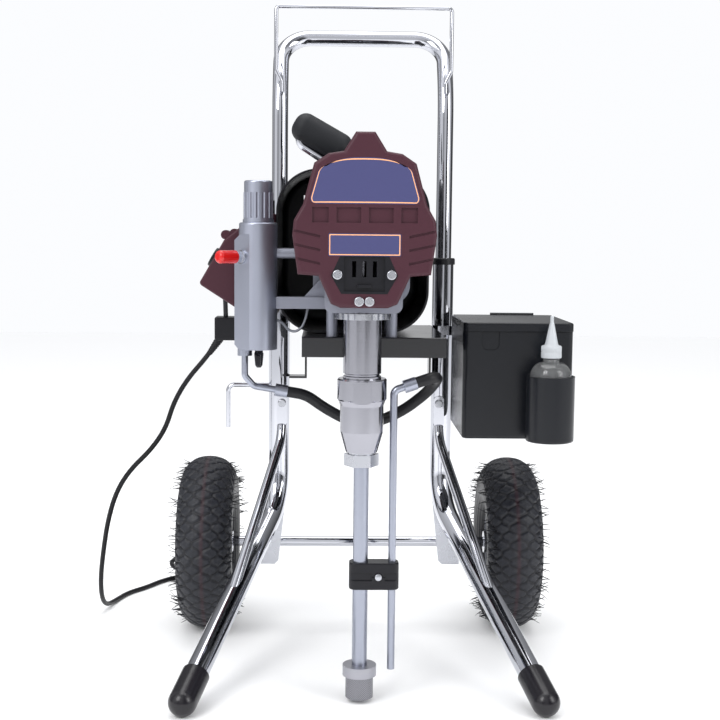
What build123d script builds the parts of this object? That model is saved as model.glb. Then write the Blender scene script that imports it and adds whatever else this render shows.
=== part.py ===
"""Airless paint sprayer on an upright two-wheel cart.

Millimetres, +Z up, -Y towards the operator, +X to the operator's right.
The machine is drawn about the axle (Y 0) and the cart's middle (X 0), standing on Z 0,
and each node is then moved so that the whole machine is centred over the origin.
"""

import os
from math import cos, pi, radians, sin, tan

from build123d import *

# ---- clearances ----
running_gap = 0.05
part_gap = 0.3
seat_gap = 0.1

# ---- cart ----
tyre_r = 135.0
tyre_width = 86.0
tyre_wall = 9.0
bead_r = 51.0
wheel_x = 238.0
rim_thickness = 2.5
rim_width = 58.0
rim_flange = 10.0
hub_r = 19.0
hub_half = 32.0
bush_r = 14.0
bush_flange_r = 17.0
bush_flange = 3.0
axle_r = 8.0
axle_end_gap = 1.0

tube_r = 16.0
tube_wall = 2.5
upright_x = 126.0
upright_y = -29.0
sleeve_top = 578.0
leg_bend_z = 207.0
leg_bend_r = 80.0
foot_x = 236.0
wheelbase = 398.0
foot_cap_r = 19.0
foot_cap_length = 50.0

handle_r = 12.0
handle_wall = 2.0
handle_engaged = 80.0
handle_kink_z = 836.0
handle_top_z = 926.0
handle_lean = 56.0
handle_kink_r = 120.0
handle_corner_r = 46.0
collar_r = 18.0
collar_height = 10.0
collar_spigot = 28.0
rack_wire_r = 3.0
rack_top_z = 962.0
rack_leg_z = 868.0

brace_r = 7.5
brace_top_z = 352.0
brace_lug_height = 46.0
brace_lug_thickness = 5.0
brace_reach = 0.57
bracket_thickness = 5.0
bracket_bottom = 101.0
bracket_top = 206.0

# ---- platform ----
sheet = 3.0
tray_left = -86.0
tray_right = 107.0
tray_front = -310.0
tray_back = -155.0
tray_top = 487.0
tray_skirt = 27.0
tray_arm_bottom = 403.0
tray_strap = 28.0
bolt_r = 4.0
bolt_head_r = 6.2
cover_screw_r = 2.5
bolt_head = 4.5

# ---- drive ----
pump_x = -6.0
pump_y = -340.0
housing_half = 50.0
housing_wall = 8.0
housing_front = -374.0
housing_back = -262.0
housing_bottom = 523.0
housing_top = 706.0
gearcase_half = 66.0
gearcase_bottom = 530.0
gearcase_top = 708.0
gearcase_back = -216.0
standoff_r = 7.5
standoff_x = 40.0
standoff_y = (-296.0, -236.0)
crank_z = 640.0
stroke = 38.0
gear_tooth_share = 0.36
gear_width = 14.0
fine_module = 1.5
coarse_module = 2.0
rotor_teeth = 12
wheel_teeth = 48
small_teeth = 14
crank_teeth = 49
shaft_r = 6.0
motor_r = 74.0
motor_wall = 4.0
motor_back = -84.0
rotor_r = 46.0
cowl_x = -18.0
cowl_half = 105.0
cowl_bottom = 488.0
cowl_top = 712.0
cowl_front = -250.0
cowl_back = -48.0
cowl_corner = 58.0
cowl_wall = 3.0
cowl_edge = 12.0

cover_front = -400.0
cover_back = -280.0
cover_wall = 3.0
cover_edge = 5.0
vent_bottom = 638.0
vent_top = 657.0
vent_backing = 2.0
vent_spans = ((-66.0, -45.5), (-35.5, -5.0), (5.0, 35.5), (45.5, 66.0))
door_half = 26.0
door_bottom = 548.0
door_top = 606.0
door_thickness = 2.5

# ---- pump ----
cylinder_r = 25.0
cylinder_bore_r = 16.0
cylinder_bottom = 429.0
cylinder_top = 541.0
rod_r = 9.0
piston_z = 462.0
piston_height = 14.0
jam_nut_r = 37.0
jam_nut_height = 8.0
valve_ring_r = 32.5
valve_body_r = 28.5
valve_cone_r = 21.0
valve_bottom = 339.0
valve_bore_r = 10.0
ball_r = 8.0
ball_z = 372.0
ball_lift = 4.0
nut_r = 23.0
nut_bottom = 320.0
suction_r = 10.0
suction_wall = 1.5
strainer_top = 50.0
strainer_r = 22.5
mesh_r = 18.5
mesh_bottom = 6.0

# ---- filter housing ----
filter_x = -146.0
filter_y = -270.0
filter_r = 26.0
filter_bottom = 467.0
filter_top = 638.0
filter_block_half = 24.0
filter_block_left = -178.0
filter_bore_r = 17.0
filter_cap_r = 20.0
filter_cap_top = 694.0
element_r = 13.0
element_wall = 1.5
outlet_z = 592.0
outlet_nut_r = 8.5
outlet_thread_r = 6.6
outlet_cap_r = 8.8
outlet_cap_length = 30.0
lever_x = -145.0
drain_x = -164.0
drain_r = 4.5
hose_r = 7.5
ferrule_r = 8.5
ferrule_length = 17.0
drain_tube_r = 5.0
drain_tube_x = 36.0
drain_tube_bottom = 44.0
drain_tube_wall = 1.2
drain_tube_lead = 14.0
drain_corner_z = 420.0
drain_lead_in = (0.945, 0.1, 0.31)
drain_bend_r = 9.0
clip_bottom = 155.0
clip_top = 191.0
clip_half = 14.0
clip_bolt_half = 8.5
clip_band_depth = 2.4
clip_band_gap = 11.0
cable_r = 1.8

# ---- controls ----
box_front = -226.0
box_back = -48.0
panel_tilt = 60.0
knob_r = 15.0
knob_height = 12.0
knob_along = 34.0
knob_y = -84.0
knob_stem_r = 4.0
knob_stem_depth = 6.0
switch_x = -133.0
switch_y = -148.0
switch_z = 651.0
switch_throw = 24.0
gland_x = -208.0
gland_half = 17.0
gland_bottom = 459.0
gland_top = 495.0
cord_d = 7.6
coil_tube_r = 11.5
plug_r = 14.0
plug_neck_r = 6.0
pin_spacing = 19.0
pin_r = 2.4
coil_mid_r = 43.0
coil_at = (-271.0, 262.0)

# ---- accessories ----
carry_y = -150.0
carry_bar_r = 6.0
carry_grip_r = 21.0
grip_left = (-101.0, 782.5)
grip_right = (-22.0, 738.5)
toolbox_left = 137.0
toolbox_right = 291.0
toolbox_front = -240.0
toolbox_back = -62.0
toolbox_bottom = 340.0
toolbox_top = 491.0
toolbox_wall = 3.0
lid_height = 12.0
lid_axis_z = toolbox_top + part_gap + lid_height
lid_barrel_r = 3.0
lid_knuckles = ((196.0, 206.0), (252.0, 262.0))
pocket_x = 254.0
pocket_y = -273.5
pocket_web_half = 25.0
pocket_r = 33.0
pocket_bottom = 343.0
pocket_top = 433.0
bottle_r = 28.0
bottle_shoulder = 440.0
bottle_neck_r = 11.0
bottle_top = 458.0
nozzle_top = 516.0

tyre_outer = wheel_x + tyre_width / 2
machine_front = min(cover_front - bolt_head, -wheelbase - foot_cap_r)
centre_x = (toolbox_right - tyre_outer) / 2
centre_y = (machine_front + tyre_r) / 2
shift = Pos(-centre_x, -centre_y, 0)

os.makedirs("parts", exist_ok=True)


def save(name, shape):
    """Write one node, moved from the machine's frame to the row's frame."""
    export_step(shift * shape, f"parts/{name}.step")


def group(*solids):
    return Compound(children=list(solids))


def block(x0, x1, y0, y1, z0, z1):
    """Box between two corners."""
    return Pos((x0 + x1) / 2, (y0 + y1) / 2, (z0 + z1) / 2) * Box(x1 - x0, y1 - y0, z1 - z0)


def rod(start, end, radius):
    """Round bar between two points."""
    line = Vector(*end) - Vector(*start)
    plane = Plane(origin=start, z_dir=line)
    return plane * Cylinder(radius, line.length, align=(Align.CENTER, Align.CENTER, Align.MIN))


def circles(shape):
    return shape.edges().filter_by(GeomType.CIRCLE)


def pipe(start, end, radius, bore):
    """Straight tube between two points, open at both ends."""
    return rod(start, end, radius) - rod(start, end, bore)


def swept(points, radii, radius, bore=0.0):
    """Tube or bar along straight runs joined by tangent arcs."""
    path = FilletPolyline(*points, radius=radii)
    section = Plane(origin=path @ 0, z_dir=path % 0) * Circle(radius)
    solid = sweep(section, path=path)
    if bore > 0:
        hole = Plane(origin=path @ 0, z_dir=path % 0) * Circle(bore)
        solid = solid - sweep(hole, path=path)
    return solid


def turned(points, x=0.0, y=0.0):
    """Solid of revolution about a vertical axis, from an outline of (radius, height) points."""
    outline = make_face(Plane.XZ * Polyline(*points, close=True))
    return Pos(x, y, 0) * revolve(outline, Axis.Z)


def turned_x(points, x):
    """Solid of revolution about the axle, from (radius, distance from x) points."""
    outline = make_face(Plane.XY * Polyline(*[(away, radius) for radius, away in points], close=True))
    return Pos(x, 0, tyre_r) * revolve(outline, Axis.X)


def front_plate(points, front, back):
    """Plate with an outline of (x, z) points, between two depths."""
    outline = make_face(Plane.XZ * Polyline(*points, close=True))
    return Pos(0, back, 0) * extrude(outline, back - front, dir=(0, -1, 0))


def mirrored(shape):
    return mirror(shape, Plane.YZ)


def hexagon(radius, z0, z1, x, y):
    return Pos(x, y, z0) * extrude(RegularPolygon(radius, 6), z1 - z0)


def cord_radii(points):
    """Largest arcs that a cord's runs allow, one for each inner point."""
    radii = []
    for before, corner, after in zip(points, points[1:], points[2:]):
        run_in = Vector(*corner) - Vector(*before)
        run_out = Vector(*after) - Vector(*corner)
        turn = radians(run_in.get_angle(run_out))
        radii.append(0.45 * min(run_in.length, run_out.length) / tan(turn / 2))
    return radii


# ---------------------------------------------------------------- cart

leg_top = (upright_x, upright_y, sleeve_top)
leg_bend = (upright_x, upright_y, leg_bend_z)
foot = (foot_x, -wheelbase, foot_cap_r)


def along_leg(share):
    """Point on the sloping leg, 0 at the bend and 1 at the foot."""
    return tuple(a + (b - a) * share for a, b in zip(leg_bend, foot))


def leg_tube(outer, bore):
    return swept([leg_top, leg_bend, foot], [leg_bend_r], outer, bore)


def foot_cap():
    """Rubber cap with a round end, pushed over the tube."""
    length = (Vector(*foot) - Vector(*leg_bend)).length
    start = along_leg(1 - foot_cap_length / length)
    side = Polyline(
        (0, foot_cap_length),
        (tube_r, foot_cap_length),
        (tube_r, 0),
        (foot_cap_r, 0),
        (foot_cap_r, foot_cap_length),
    )
    slant = foot_cap_r * cos(pi / 4)
    dome = ThreePointArc(
        (foot_cap_r, foot_cap_length),
        (slant, foot_cap_length + slant),
        (0, foot_cap_length + foot_cap_r),
    )
    middle = Line((0, foot_cap_length + foot_cap_r), (0, foot_cap_length))
    cap = revolve(make_face(Plane.XZ * (side + dome + middle)), Axis.Z)
    return Plane(origin=start, z_dir=Vector(*foot) - Vector(*leg_bend)) * cap


def make_legs():
    right = leg_tube(tube_r, tube_r - tube_wall)
    save("frame_leg_right", right)
    save("frame_leg_left", mirrored(right))
    cap = foot_cap()
    save("foot_caps", group(cap, mirrored(cap)))


def collar():
    """Guide bush pushed into the top of the sleeve."""
    bush = rod(
        (upright_x, upright_y, sleeve_top),
        (upright_x, upright_y, sleeve_top + collar_height),
        collar_r,
    )
    bush = fillet(bush.edges().group_by(Axis.Z)[-1], 2.5)
    bush += rod(
        (upright_x, upright_y, sleeve_top - collar_spigot),
        (upright_x, upright_y, sleeve_top),
        tube_r - tube_wall,
    )
    bore = rod(
        (upright_x, upright_y, sleeve_top - collar_spigot - 1),
        (upright_x, upright_y, sleeve_top + collar_height + 1),
        handle_r + running_gap,
    )
    return bush - bore


def make_handle():
    """Inverted U of tube with its top leaning back, and the wire rack in front of it."""
    bottom = sleeve_top - handle_engaged
    back_y = upright_y + handle_lean
    points = [
        (-upright_x, upright_y, bottom),
        (-upright_x, upright_y, handle_kink_z),
        (-upright_x, back_y, handle_top_z),
        (upright_x, back_y, handle_top_z),
        (upright_x, upright_y, handle_kink_z),
        (upright_x, upright_y, bottom),
    ]
    radii = [handle_kink_r, handle_corner_r, handle_corner_r, handle_kink_r]
    save("handle_tube", swept(points, radii, handle_r, handle_r - handle_wall))

    wire_y = upright_y - handle_r - rack_wire_r
    wire_x = upright_x + 6.0
    weld_x = upright_x - 2.0
    points = [
        (-weld_x, wire_y, handle_kink_z),
        (-weld_x, wire_y, rack_leg_z - 16.0),
        (-wire_x, wire_y, rack_leg_z),
        (-wire_x, wire_y, rack_top_z),
        (wire_x, wire_y, rack_top_z),
        (wire_x, wire_y, rack_leg_z),
        (weld_x, wire_y, rack_leg_z - 16.0),
        (weld_x, wire_y, handle_kink_z),
    ]
    save("wire_rack", swept(points, [8.0, 8.0, 6.0, 6.0, 8.0, 8.0], rack_wire_r))
    save("sleeve_collars", group(collar(), mirrored(collar())))


def bolt(x, y_head, y_end, z, radius):
    """Bolt along Y with its head towards the operator."""
    head = rod((x, y_head - bolt_head, z), (x, y_head, z), bolt_head_r)
    head = fillet(circles(head).sort_by(Axis.Y)[0], 1.5)
    return head + rod((x, y_head, z), (x, y_end, z), radius)


def brace_bolt():
    """Bolt that holds a flattened brace end to the upright."""
    front = upright_y - tube_r
    return bolt(upright_x - 5.0, front - brace_lug_thickness, front, brace_top_z + 12.0, bolt_r)


def brace():
    """Tube strut from the upright to the leg with a flattened, bolted upper end."""
    lug_y = upright_y - tube_r - brace_lug_thickness / 2
    low = along_leg(brace_reach)
    points = [
        (upright_x - 5.0, lug_y, brace_top_z - brace_lug_height / 2),
        (upright_x - 4.0, lug_y - 6.0, brace_top_z - brace_lug_height),
        low,
    ]
    strut = swept(points, [60.0], brace_r)
    strut -= block(0, foot_x, upright_y - tube_r, 0, 0, sleeve_top)
    lug = block(
        upright_x - 13.0,
        upright_x + 3.0,
        lug_y - brace_lug_thickness / 2,
        lug_y + brace_lug_thickness / 2,
        brace_top_z - brace_lug_height / 2,
        brace_top_z + brace_lug_height / 2,
    )
    lug = fillet(lug.edges().filter_by(Axis.Y), 6.0)
    return (strut + lug) - rod(leg_bend, foot, tube_r + seat_gap) - brace_bolt()


def axle_bracket():
    """Plate welded behind the upright's bend, with the axle welded behind it."""
    front = -axle_r - bracket_thickness
    plate = front_plate(
        [
            (upright_x - 10.0, bracket_top),
            (upright_x + 10.0, bracket_top),
            (upright_x + 34.0, bracket_bottom + 40.0),
            (upright_x + 34.0, bracket_bottom),
            (upright_x + 7.0, bracket_bottom),
            (upright_x + 1.0, bracket_bottom + 6.0),
        ],
        front,
        -axle_r,
    )
    plate -= leg_tube(tube_r, 0.0)
    return plate


def make_running_gear():
    axle_end = wheel_x + hub_half + bush_flange + 6.0
    save("axle", Pos(0, 0, tyre_r) * Rot(0, 90, 0) * Cylinder(axle_r, 2 * axle_end))
    save("axle_brackets", group(axle_bracket(), mirrored(axle_bracket())))
    save("leg_braces", group(brace(), mirrored(brace())))


def tyre(x):
    """Hollow tyre carcass, open towards the rim."""
    half = tyre_width / 2
    bead_x = rim_width / 2 - rim_thickness - seat_gap
    flange_r = bead_r + rim_flange
    carcass = turned_x(
        [
            (bead_r + seat_gap, -bead_x),
            (flange_r, -bead_x),
            (flange_r + 6.0, -half + 6.0),
            (bead_r + 40.0, -half),
            (tyre_r - 22.0, -half + 3.0),
            (tyre_r - 5.0, -half + 16.0),
            (tyre_r, -half + 34.0),
            (tyre_r, half - 34.0),
            (tyre_r - 5.0, half - 16.0),
            (tyre_r - 22.0, half - 3.0),
            (bead_r + 40.0, half),
            (flange_r + 6.0, half - 6.0),
            (flange_r, bead_x),
            (bead_r + seat_gap, bead_x),
        ],
        x,
    )
    inner = half - tyre_wall
    cavity = turned_x(
        [
            (bead_r - 1.0, -rim_width / 2 + 12.0),
            (bead_r + 16.0, -inner + 4.0),
            (bead_r + 40.0, -inner),
            (tyre_r - 26.0, -inner + 4.0),
            (tyre_r - tyre_wall, -inner + 24.0),
            (tyre_r - tyre_wall, inner - 24.0),
            (tyre_r - 26.0, inner - 4.0),
            (bead_r + 40.0, inner),
            (bead_r + 16.0, inner - 4.0),
            (bead_r - 1.0, rim_width / 2 - 12.0),
        ],
        x,
    )
    return carcass - cavity


def rim(x):
    """Pressed steel rim: bead seats with flanges, centre disc and hub tube."""
    half = rim_width / 2
    seat = bead_r - rim_thickness
    barrel = turned_x(
        [
            (bead_r + rim_flange - 1.0, -half),
            (bead_r + rim_flange - 1.0, -half + rim_thickness),
            (bead_r, -half + rim_thickness),
            (bead_r, half - rim_thickness),
            (bead_r + rim_flange - 1.0, half - rim_thickness),
            (bead_r + rim_flange - 1.0, half),
            (seat, half),
            (seat, -half),
        ],
        x,
    )
    barrel -= turned_x(
        [(bead_r, -10.0), (bead_r + 20.0, -10.0), (bead_r + 20.0, 10.0), (bead_r, 10.0)],
        x,
    )
    disc = turned_x(
        [
            (hub_r - 2.0, -14.0),
            (hub_r - 2.0, 14.0),
            (hub_r + 8.0, 3.0),
            (seat + 0.5, 3.0),
            (seat + 0.5, -3.0),
            (hub_r + 8.0, -3.0),
        ],
        x,
    )
    hub = Pos(x, 0, tyre_r) * Rot(0, 90, 0) * Cylinder(hub_r, 2 * hub_half)
    bore = Pos(x, 0, tyre_r) * Rot(0, 90, 0) * Cylinder(bush_r, 2 * hub_half + 2)
    return (barrel + disc + hub) - bore


def bushes(x):
    """Two flanged plain bushes fixed on the axle, inside the ends of a hub."""
    made = []
    for side in (-1, 1):
        sleeve = turned_x(
            [
                (axle_r, side * (hub_half - 22.0)),
                (bush_r - running_gap, side * (hub_half - 22.0)),
                (bush_r - running_gap, side * (hub_half + part_gap)),
                (bush_flange_r, side * (hub_half + part_gap)),
                (bush_flange_r, side * (hub_half + part_gap + bush_flange)),
                (axle_r, side * (hub_half + part_gap + bush_flange)),
            ],
            x,
        )
        made.append(sleeve)
    return made


def axle_cap(x):
    """Washer and push-on cap that keep a wheel on the axle."""
    side = 1 if x > 0 else -1
    inner = hub_half + bush_flange + axle_end_gap
    cap = turned_x(
        [
            (axle_r, side * inner),
            (bush_flange_r, side * inner),
            (bush_flange_r, side * (inner + 1.6)),
            (12.5, side * (inner + 1.6)),
            (12.0, side * (inner + 5.5)),
            (0, side * (inner + 6.5)),
            (0, side * (inner + 5.0)),
            (axle_r, side * (inner + 5.0)),
        ],
        x,
    )
    spacer = turned_x(
        [
            (axle_r, -side * inner),
            (bush_flange_r, -side * inner),
            (bush_flange_r, -side * (inner + 2.0)),
            (axle_r, -side * (inner + 2.0)),
        ],
        x,
    )
    return [cap, spacer]


def make_wheels():
    for name, x in (("left", -wheel_x), ("right", wheel_x)):
        save(f"tyre_{name}", tyre(x))
        save(f"rim_{name}", rim(x))
    save("hub_bushes", group(*bushes(-wheel_x), *bushes(wheel_x)))


# ---------------------------------------------------------------- platform


def platform_tray():
    """Folded steel platform with a skirt and two side arms bolted to the uprights."""
    tray = block(tray_left, tray_right, tray_front, tray_back, tray_top - sheet, tray_top)
    tray += block(tray_left, tray_right, tray_front, tray_front + sheet, tray_top - tray_skirt, tray_top)
    tray = fillet(tray.edges().filter_by(Axis.X).group_by(Axis.Y)[0].sort_by(Axis.Z)[-1], 2.0)
    post = upright_y - tube_r
    skirt_z = tray_top - tray_skirt
    web = make_face(
        Plane.YZ
        * Polyline(
            (tray_front, skirt_z),
            (tray_front, tray_top - sheet),
            (upright_y, tray_top - sheet),
            (upright_y, tray_arm_bottom),
            (upright_y - tray_strap, tray_arm_bottom),
            (upright_y - tray_strap, skirt_z),
            close=True,
        )
    )
    inner_side = upright_x - tube_r
    for x, near, far in (
        (tray_left, -inner_side, tray_left + sheet),
        (tray_right - sheet, tray_right - sheet, inner_side),
    ):
        tray += Pos(x, 0, 0) * extrude(web, sheet, dir=(1, 0, 0))
        tray += block(
            near,
            far,
            upright_y - tray_strap,
            upright_y,
            tray_arm_bottom,
            tray_arm_bottom + sheet,
        )
    tray += block(tray_left, tray_right, tray_back, post, tray_top - sheet, tray_top - sheet + 1.0)
    tray -= leg_tube(tube_r, 0.0)
    tray -= mirrored(leg_tube(tube_r, 0.0))
    return tray


def make_platform():
    save("platform_tray", platform_tray())
    bolts = [brace_bolt(), mirrored(brace_bolt())]
    caps = axle_cap(-wheel_x) + axle_cap(wheel_x)
    save("frame_hardware", group(*bolts, *caps))


def make_hooks():
    """Hose hook on the left upright and folded hanger for the tool box on the right one."""
    hook_z = 389.0
    hook_drop = 66.0
    start = -upright_x - tube_r
    hook = swept(
        [
            (start, upright_y, hook_z),
            (gland_x + 3.0, upright_y, hook_z),
            (gland_x + 3.0, upright_y, hook_z - hook_drop),
        ],
        [10.0],
        3.5,
    )
    front = upright_y - tube_r
    hanger = block(upright_x - 8.0, upright_x + 40.0, front - sheet, front, 470.0, 484.0)
    hanger += block(upright_x + 37.0, upright_x + 40.0, toolbox_back, front, 470.0, 484.0)
    hanger += block(upright_x + 20.0, upright_x + 60.0, toolbox_back, toolbox_back + sheet, 462.0, 484.0)
    hanger += rod(
        (upright_x + 27.0, toolbox_back + sheet, 473.0),
        (upright_x + 27.0, front - sheet, 473.0),
        4.0,
    )
    save("frame_hooks", group(hook, hanger))


# ---------------------------------------------------------------- drive


def gear(teeth, module, width, bore, turn):
    """Spur gear along Y with straight-sided teeth, one tooth at the given angle."""
    pitch_r = teeth * module / 2
    tip_r = pitch_r + 0.7 * module
    root_r = pitch_r - 0.95 * module
    pitch = 2 * pi / teeth
    half_root = pitch * gear_tooth_share * 0.62
    half_tip = pitch * gear_tooth_share * 0.32
    points = []
    for tooth in range(teeth):
        middle = radians(turn) + tooth * pitch
        for radius, offset in (
            (root_r, -half_root),
            (tip_r, -half_tip),
            (tip_r, half_tip),
            (root_r, half_root),
        ):
            points.append((radius * cos(middle + offset), radius * sin(middle + offset)))
    outline = make_face(Plane.XZ * Polyline(*points, close=True))
    blank = extrude(outline, width, dir=(0, -1, 0))
    if bore > 0:
        blank -= rod((0, 1, 0), (0, -width - 1, 0), bore)
    return blank


coarse_distance = (small_teeth + crank_teeth) * coarse_module / 2
fine_distance = (rotor_teeth + wheel_teeth) * fine_module / 2
layshaft_z = crank_z - coarse_distance
rotor_z = layshaft_z + fine_distance
front_gear_back = housing_back + 20.0
rear_gear_back = front_gear_back + gear_width + 3.0
motor_front = gearcase_back + part_gap


def drive_housing():
    """Cast housing: open front chamber, rear gear case, pump neck, standoffs and filter arm."""
    left = pump_x - housing_half
    right = pump_x + housing_half
    case = block(left, right, housing_front, housing_back, housing_bottom, housing_top)
    case = fillet(case.edges().filter_by(Axis.Y), 10.0)
    gearcase = block(
        pump_x - gearcase_half,
        pump_x + gearcase_half,
        housing_back,
        gearcase_back,
        gearcase_bottom,
        gearcase_top,
    )
    case += fillet(gearcase.edges().filter_by(Axis.Y), 24.0)
    for side in (-1, 1):
        for y in standoff_y:
            x = pump_x + side * standoff_x
            case += rod((x, y, tray_top), (x, y, gearcase_bottom + 2.0), standoff_r)
    arm = filter_x + filter_r - 2.0
    case += block(arm, left + 2.0, filter_y - 9.0, filter_y + 9.0, 522.5, 538.5)
    web = front_plate(
        [(left - 30.0, 536.0), (left + 2.0, 536.0), (left + 2.0, 572.0)],
        filter_y - 4.0,
        filter_y + 4.0,
    )
    case += web
    case += rod((arm, filter_y, 597.0), (left + 2.0, filter_y, 597.0), 7.0)
    case -= block(
        left + housing_wall,
        right - housing_wall,
        housing_front - 1,
        housing_back - housing_wall,
        housing_bottom + 2.5 * housing_wall,
        housing_top - housing_wall,
    )
    case -= block(
        pump_x - gearcase_half + 7.0,
        pump_x + gearcase_half - 7.0,
        housing_back + 2.0,
        gearcase_back + 1,
        gearcase_bottom + 7.0,
        gearcase_top - 7.0,
    )
    case -= rod(
        (pump_x, pump_y, tray_top),
        (pump_x, pump_y, housing_bottom + 30.0),
        cylinder_r + running_gap,
    )
    case -= rod(
        (pump_x, housing_back - housing_wall - 1, crank_z),
        (pump_x, housing_back + 3.0, crank_z),
        2 * shaft_r + running_gap,
    )
    case -= filter_body()
    return case


def make_drive():
    save("drive_housing", drive_housing())

    turn_down = 270.0
    crank = Pos(pump_x, front_gear_back, crank_z) * gear(
        crank_teeth,
        coarse_module,
        gear_width,
        0.0,
        turn_down,
    )
    crank += rod(
        (pump_x, front_gear_back, crank_z),
        (pump_x, housing_back - housing_wall - 2.0, crank_z),
        2 * shaft_r,
    )
    disc_front = housing_back - housing_wall - 16.0
    crank += rod(
        (pump_x, housing_back - housing_wall - 2.0, crank_z),
        (pump_x, disc_front, crank_z),
        stroke / 2 + 11.0,
    )
    pin_x = pump_x + stroke / 2
    crank += rod((pin_x, disc_front, crank_z), (pin_x, pump_y + 12.0 + part_gap, crank_z), 7.0)
    save("crank_gear", crank)

    small_turn = 90.0 - 180.0 / small_teeth
    layshaft = Pos(pump_x, front_gear_back, layshaft_z) * gear(
        small_teeth,
        coarse_module,
        gear_width,
        0.0,
        small_turn,
    )
    layshaft += Pos(pump_x, rear_gear_back, layshaft_z) * gear(
        wheel_teeth,
        fine_module,
        gear_width - 4.0,
        0.0,
        90.0,
    )
    layshaft += rod(
        (pump_x, front_gear_back, layshaft_z),
        (pump_x, rear_gear_back - 2.0, layshaft_z),
        shaft_r,
    )
    save("reduction_gear", layshaft)

    rotor_turn = 270.0 - 180.0 / rotor_teeth
    rotor = Pos(pump_x, rear_gear_back, rotor_z) * gear(
        rotor_teeth,
        fine_module,
        gear_width - 4.0,
        0.0,
        rotor_turn,
    )
    rotor += rod((pump_x, rear_gear_back - 1.0, rotor_z), (pump_x, motor_back + 20.0, rotor_z), shaft_r)
    rotor += rod((pump_x, motor_front + 24.0, rotor_z), (pump_x, motor_back - 24.0, rotor_z), rotor_r)
    save("motor_rotor", rotor)

    fan = rod((pump_x, motor_back + 3.0, rotor_z), (pump_x, motor_back + 15.0, rotor_z), 14.0)
    fan_blade = block(-1.5, 1.5, motor_back + 3.0, motor_back + 15.0, 12.0, motor_r - 16.0)
    for index in range(9):
        fan += Pos(pump_x, 0, rotor_z) * Rot(0, index * 40, 0) * fan_blade
    fan -= rod((pump_x, motor_back, rotor_z), (pump_x, motor_back + 20.0, rotor_z), shaft_r)
    save("cooling_fan", fan)

    can = rod((pump_x, motor_front, rotor_z), (pump_x, motor_back, rotor_z), motor_r)
    can -= rod(
        (pump_x, motor_front + 8.0, rotor_z),
        (pump_x, motor_back - 8.0, rotor_z),
        motor_r - motor_wall,
    )
    can -= rod(
        (pump_x, motor_front - 1, rotor_z),
        (pump_x, motor_back + 1, rotor_z),
        shaft_r + running_gap,
    )
    save("motor_can", can)

    yoke_half = 12.0
    slot_half = stroke / 2 + 7.0 + part_gap
    yoke = block(
        pump_x - slot_half - 6.0,
        pump_x + slot_half + 6.0,
        pump_y - yoke_half,
        pump_y + yoke_half,
        crank_z - 14.0,
        crank_z + 14.0,
    )
    yoke = fillet(yoke.edges().filter_by(Axis.Y), 5.0)
    yoke -= block(
        pump_x - slot_half,
        pump_x + slot_half,
        pump_y - 6.0,
        pump_y + 13.0,
        crank_z - 7.3,
        crank_z + 7.3,
    )
    save("rod_yoke", yoke)
    return crank_z - 14.0


def cowl_shape(half, bottom, top, front, back, corner):
    shell = block(cowl_x - half, cowl_x + half, front, back, bottom, top)
    return fillet(shell.edges().filter_by(Axis.Y), corner)


def motor_cowl():
    """Black cowl around the motor, open in front, with vent slots at the back and sides."""
    shell = cowl_shape(cowl_half, cowl_bottom, cowl_top, cowl_front, cowl_back, cowl_corner)
    shell = fillet(shell.edges().group_by(Axis.Y)[-1], cowl_edge)
    inner = cowl_shape(
        cowl_half - cowl_wall,
        cowl_bottom + cowl_wall,
        cowl_top - cowl_wall,
        cowl_front - 1,
        cowl_back - cowl_wall,
        cowl_corner - cowl_wall,
    )
    shell -= fillet(inner.edges().group_by(Axis.Y)[-1], cowl_edge - cowl_wall)
    for index in range(-4, 5):
        z = rotor_z + index * 14.0
        reach = cowl_half - 34.0
        shell -= block(cowl_x - reach, cowl_x + reach, cowl_back - 5.0, cowl_back + 1, z - 3.0, z + 3.0)
    for index in range(6):
        y = cowl_back - 40.0 - index * 14.0
        side = cowl_x + cowl_half
        shell -= block(side - 10.0, side + 1, y - 3.0, y + 3.0, rotor_z - 42.0, rotor_z + 42.0)
    for side in (-1, 1):
        for y in standoff_y:
            x = pump_x + side * standoff_x
            shell -= rod((x, y, tray_top), (x, y, gearcase_bottom), standoff_r + part_gap)
    return shell


cover_half_outline = [
    (0, 751.0),
    (12.0, 751.0),
    (27.0, 727.0),
    (46.0, 724.0),
    (64.0, 712.0),
    (78.0, 660.0),
    (89.0, 641.0),
    (91.0, 622.0),
    (84.0, 573.0),
    (58.0, 571.0),
    (42.0, 536.0),
    (30.0, 531.0),
    (0, 531.0),
]


def cover_profile():
    right = [(pump_x + x, z) for x, z in cover_half_outline]
    left = [(pump_x - x, z) for x, z in reversed(cover_half_outline[1:-1])]
    return make_face(Plane.XZ * Polyline(*right, *left, close=True))


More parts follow.
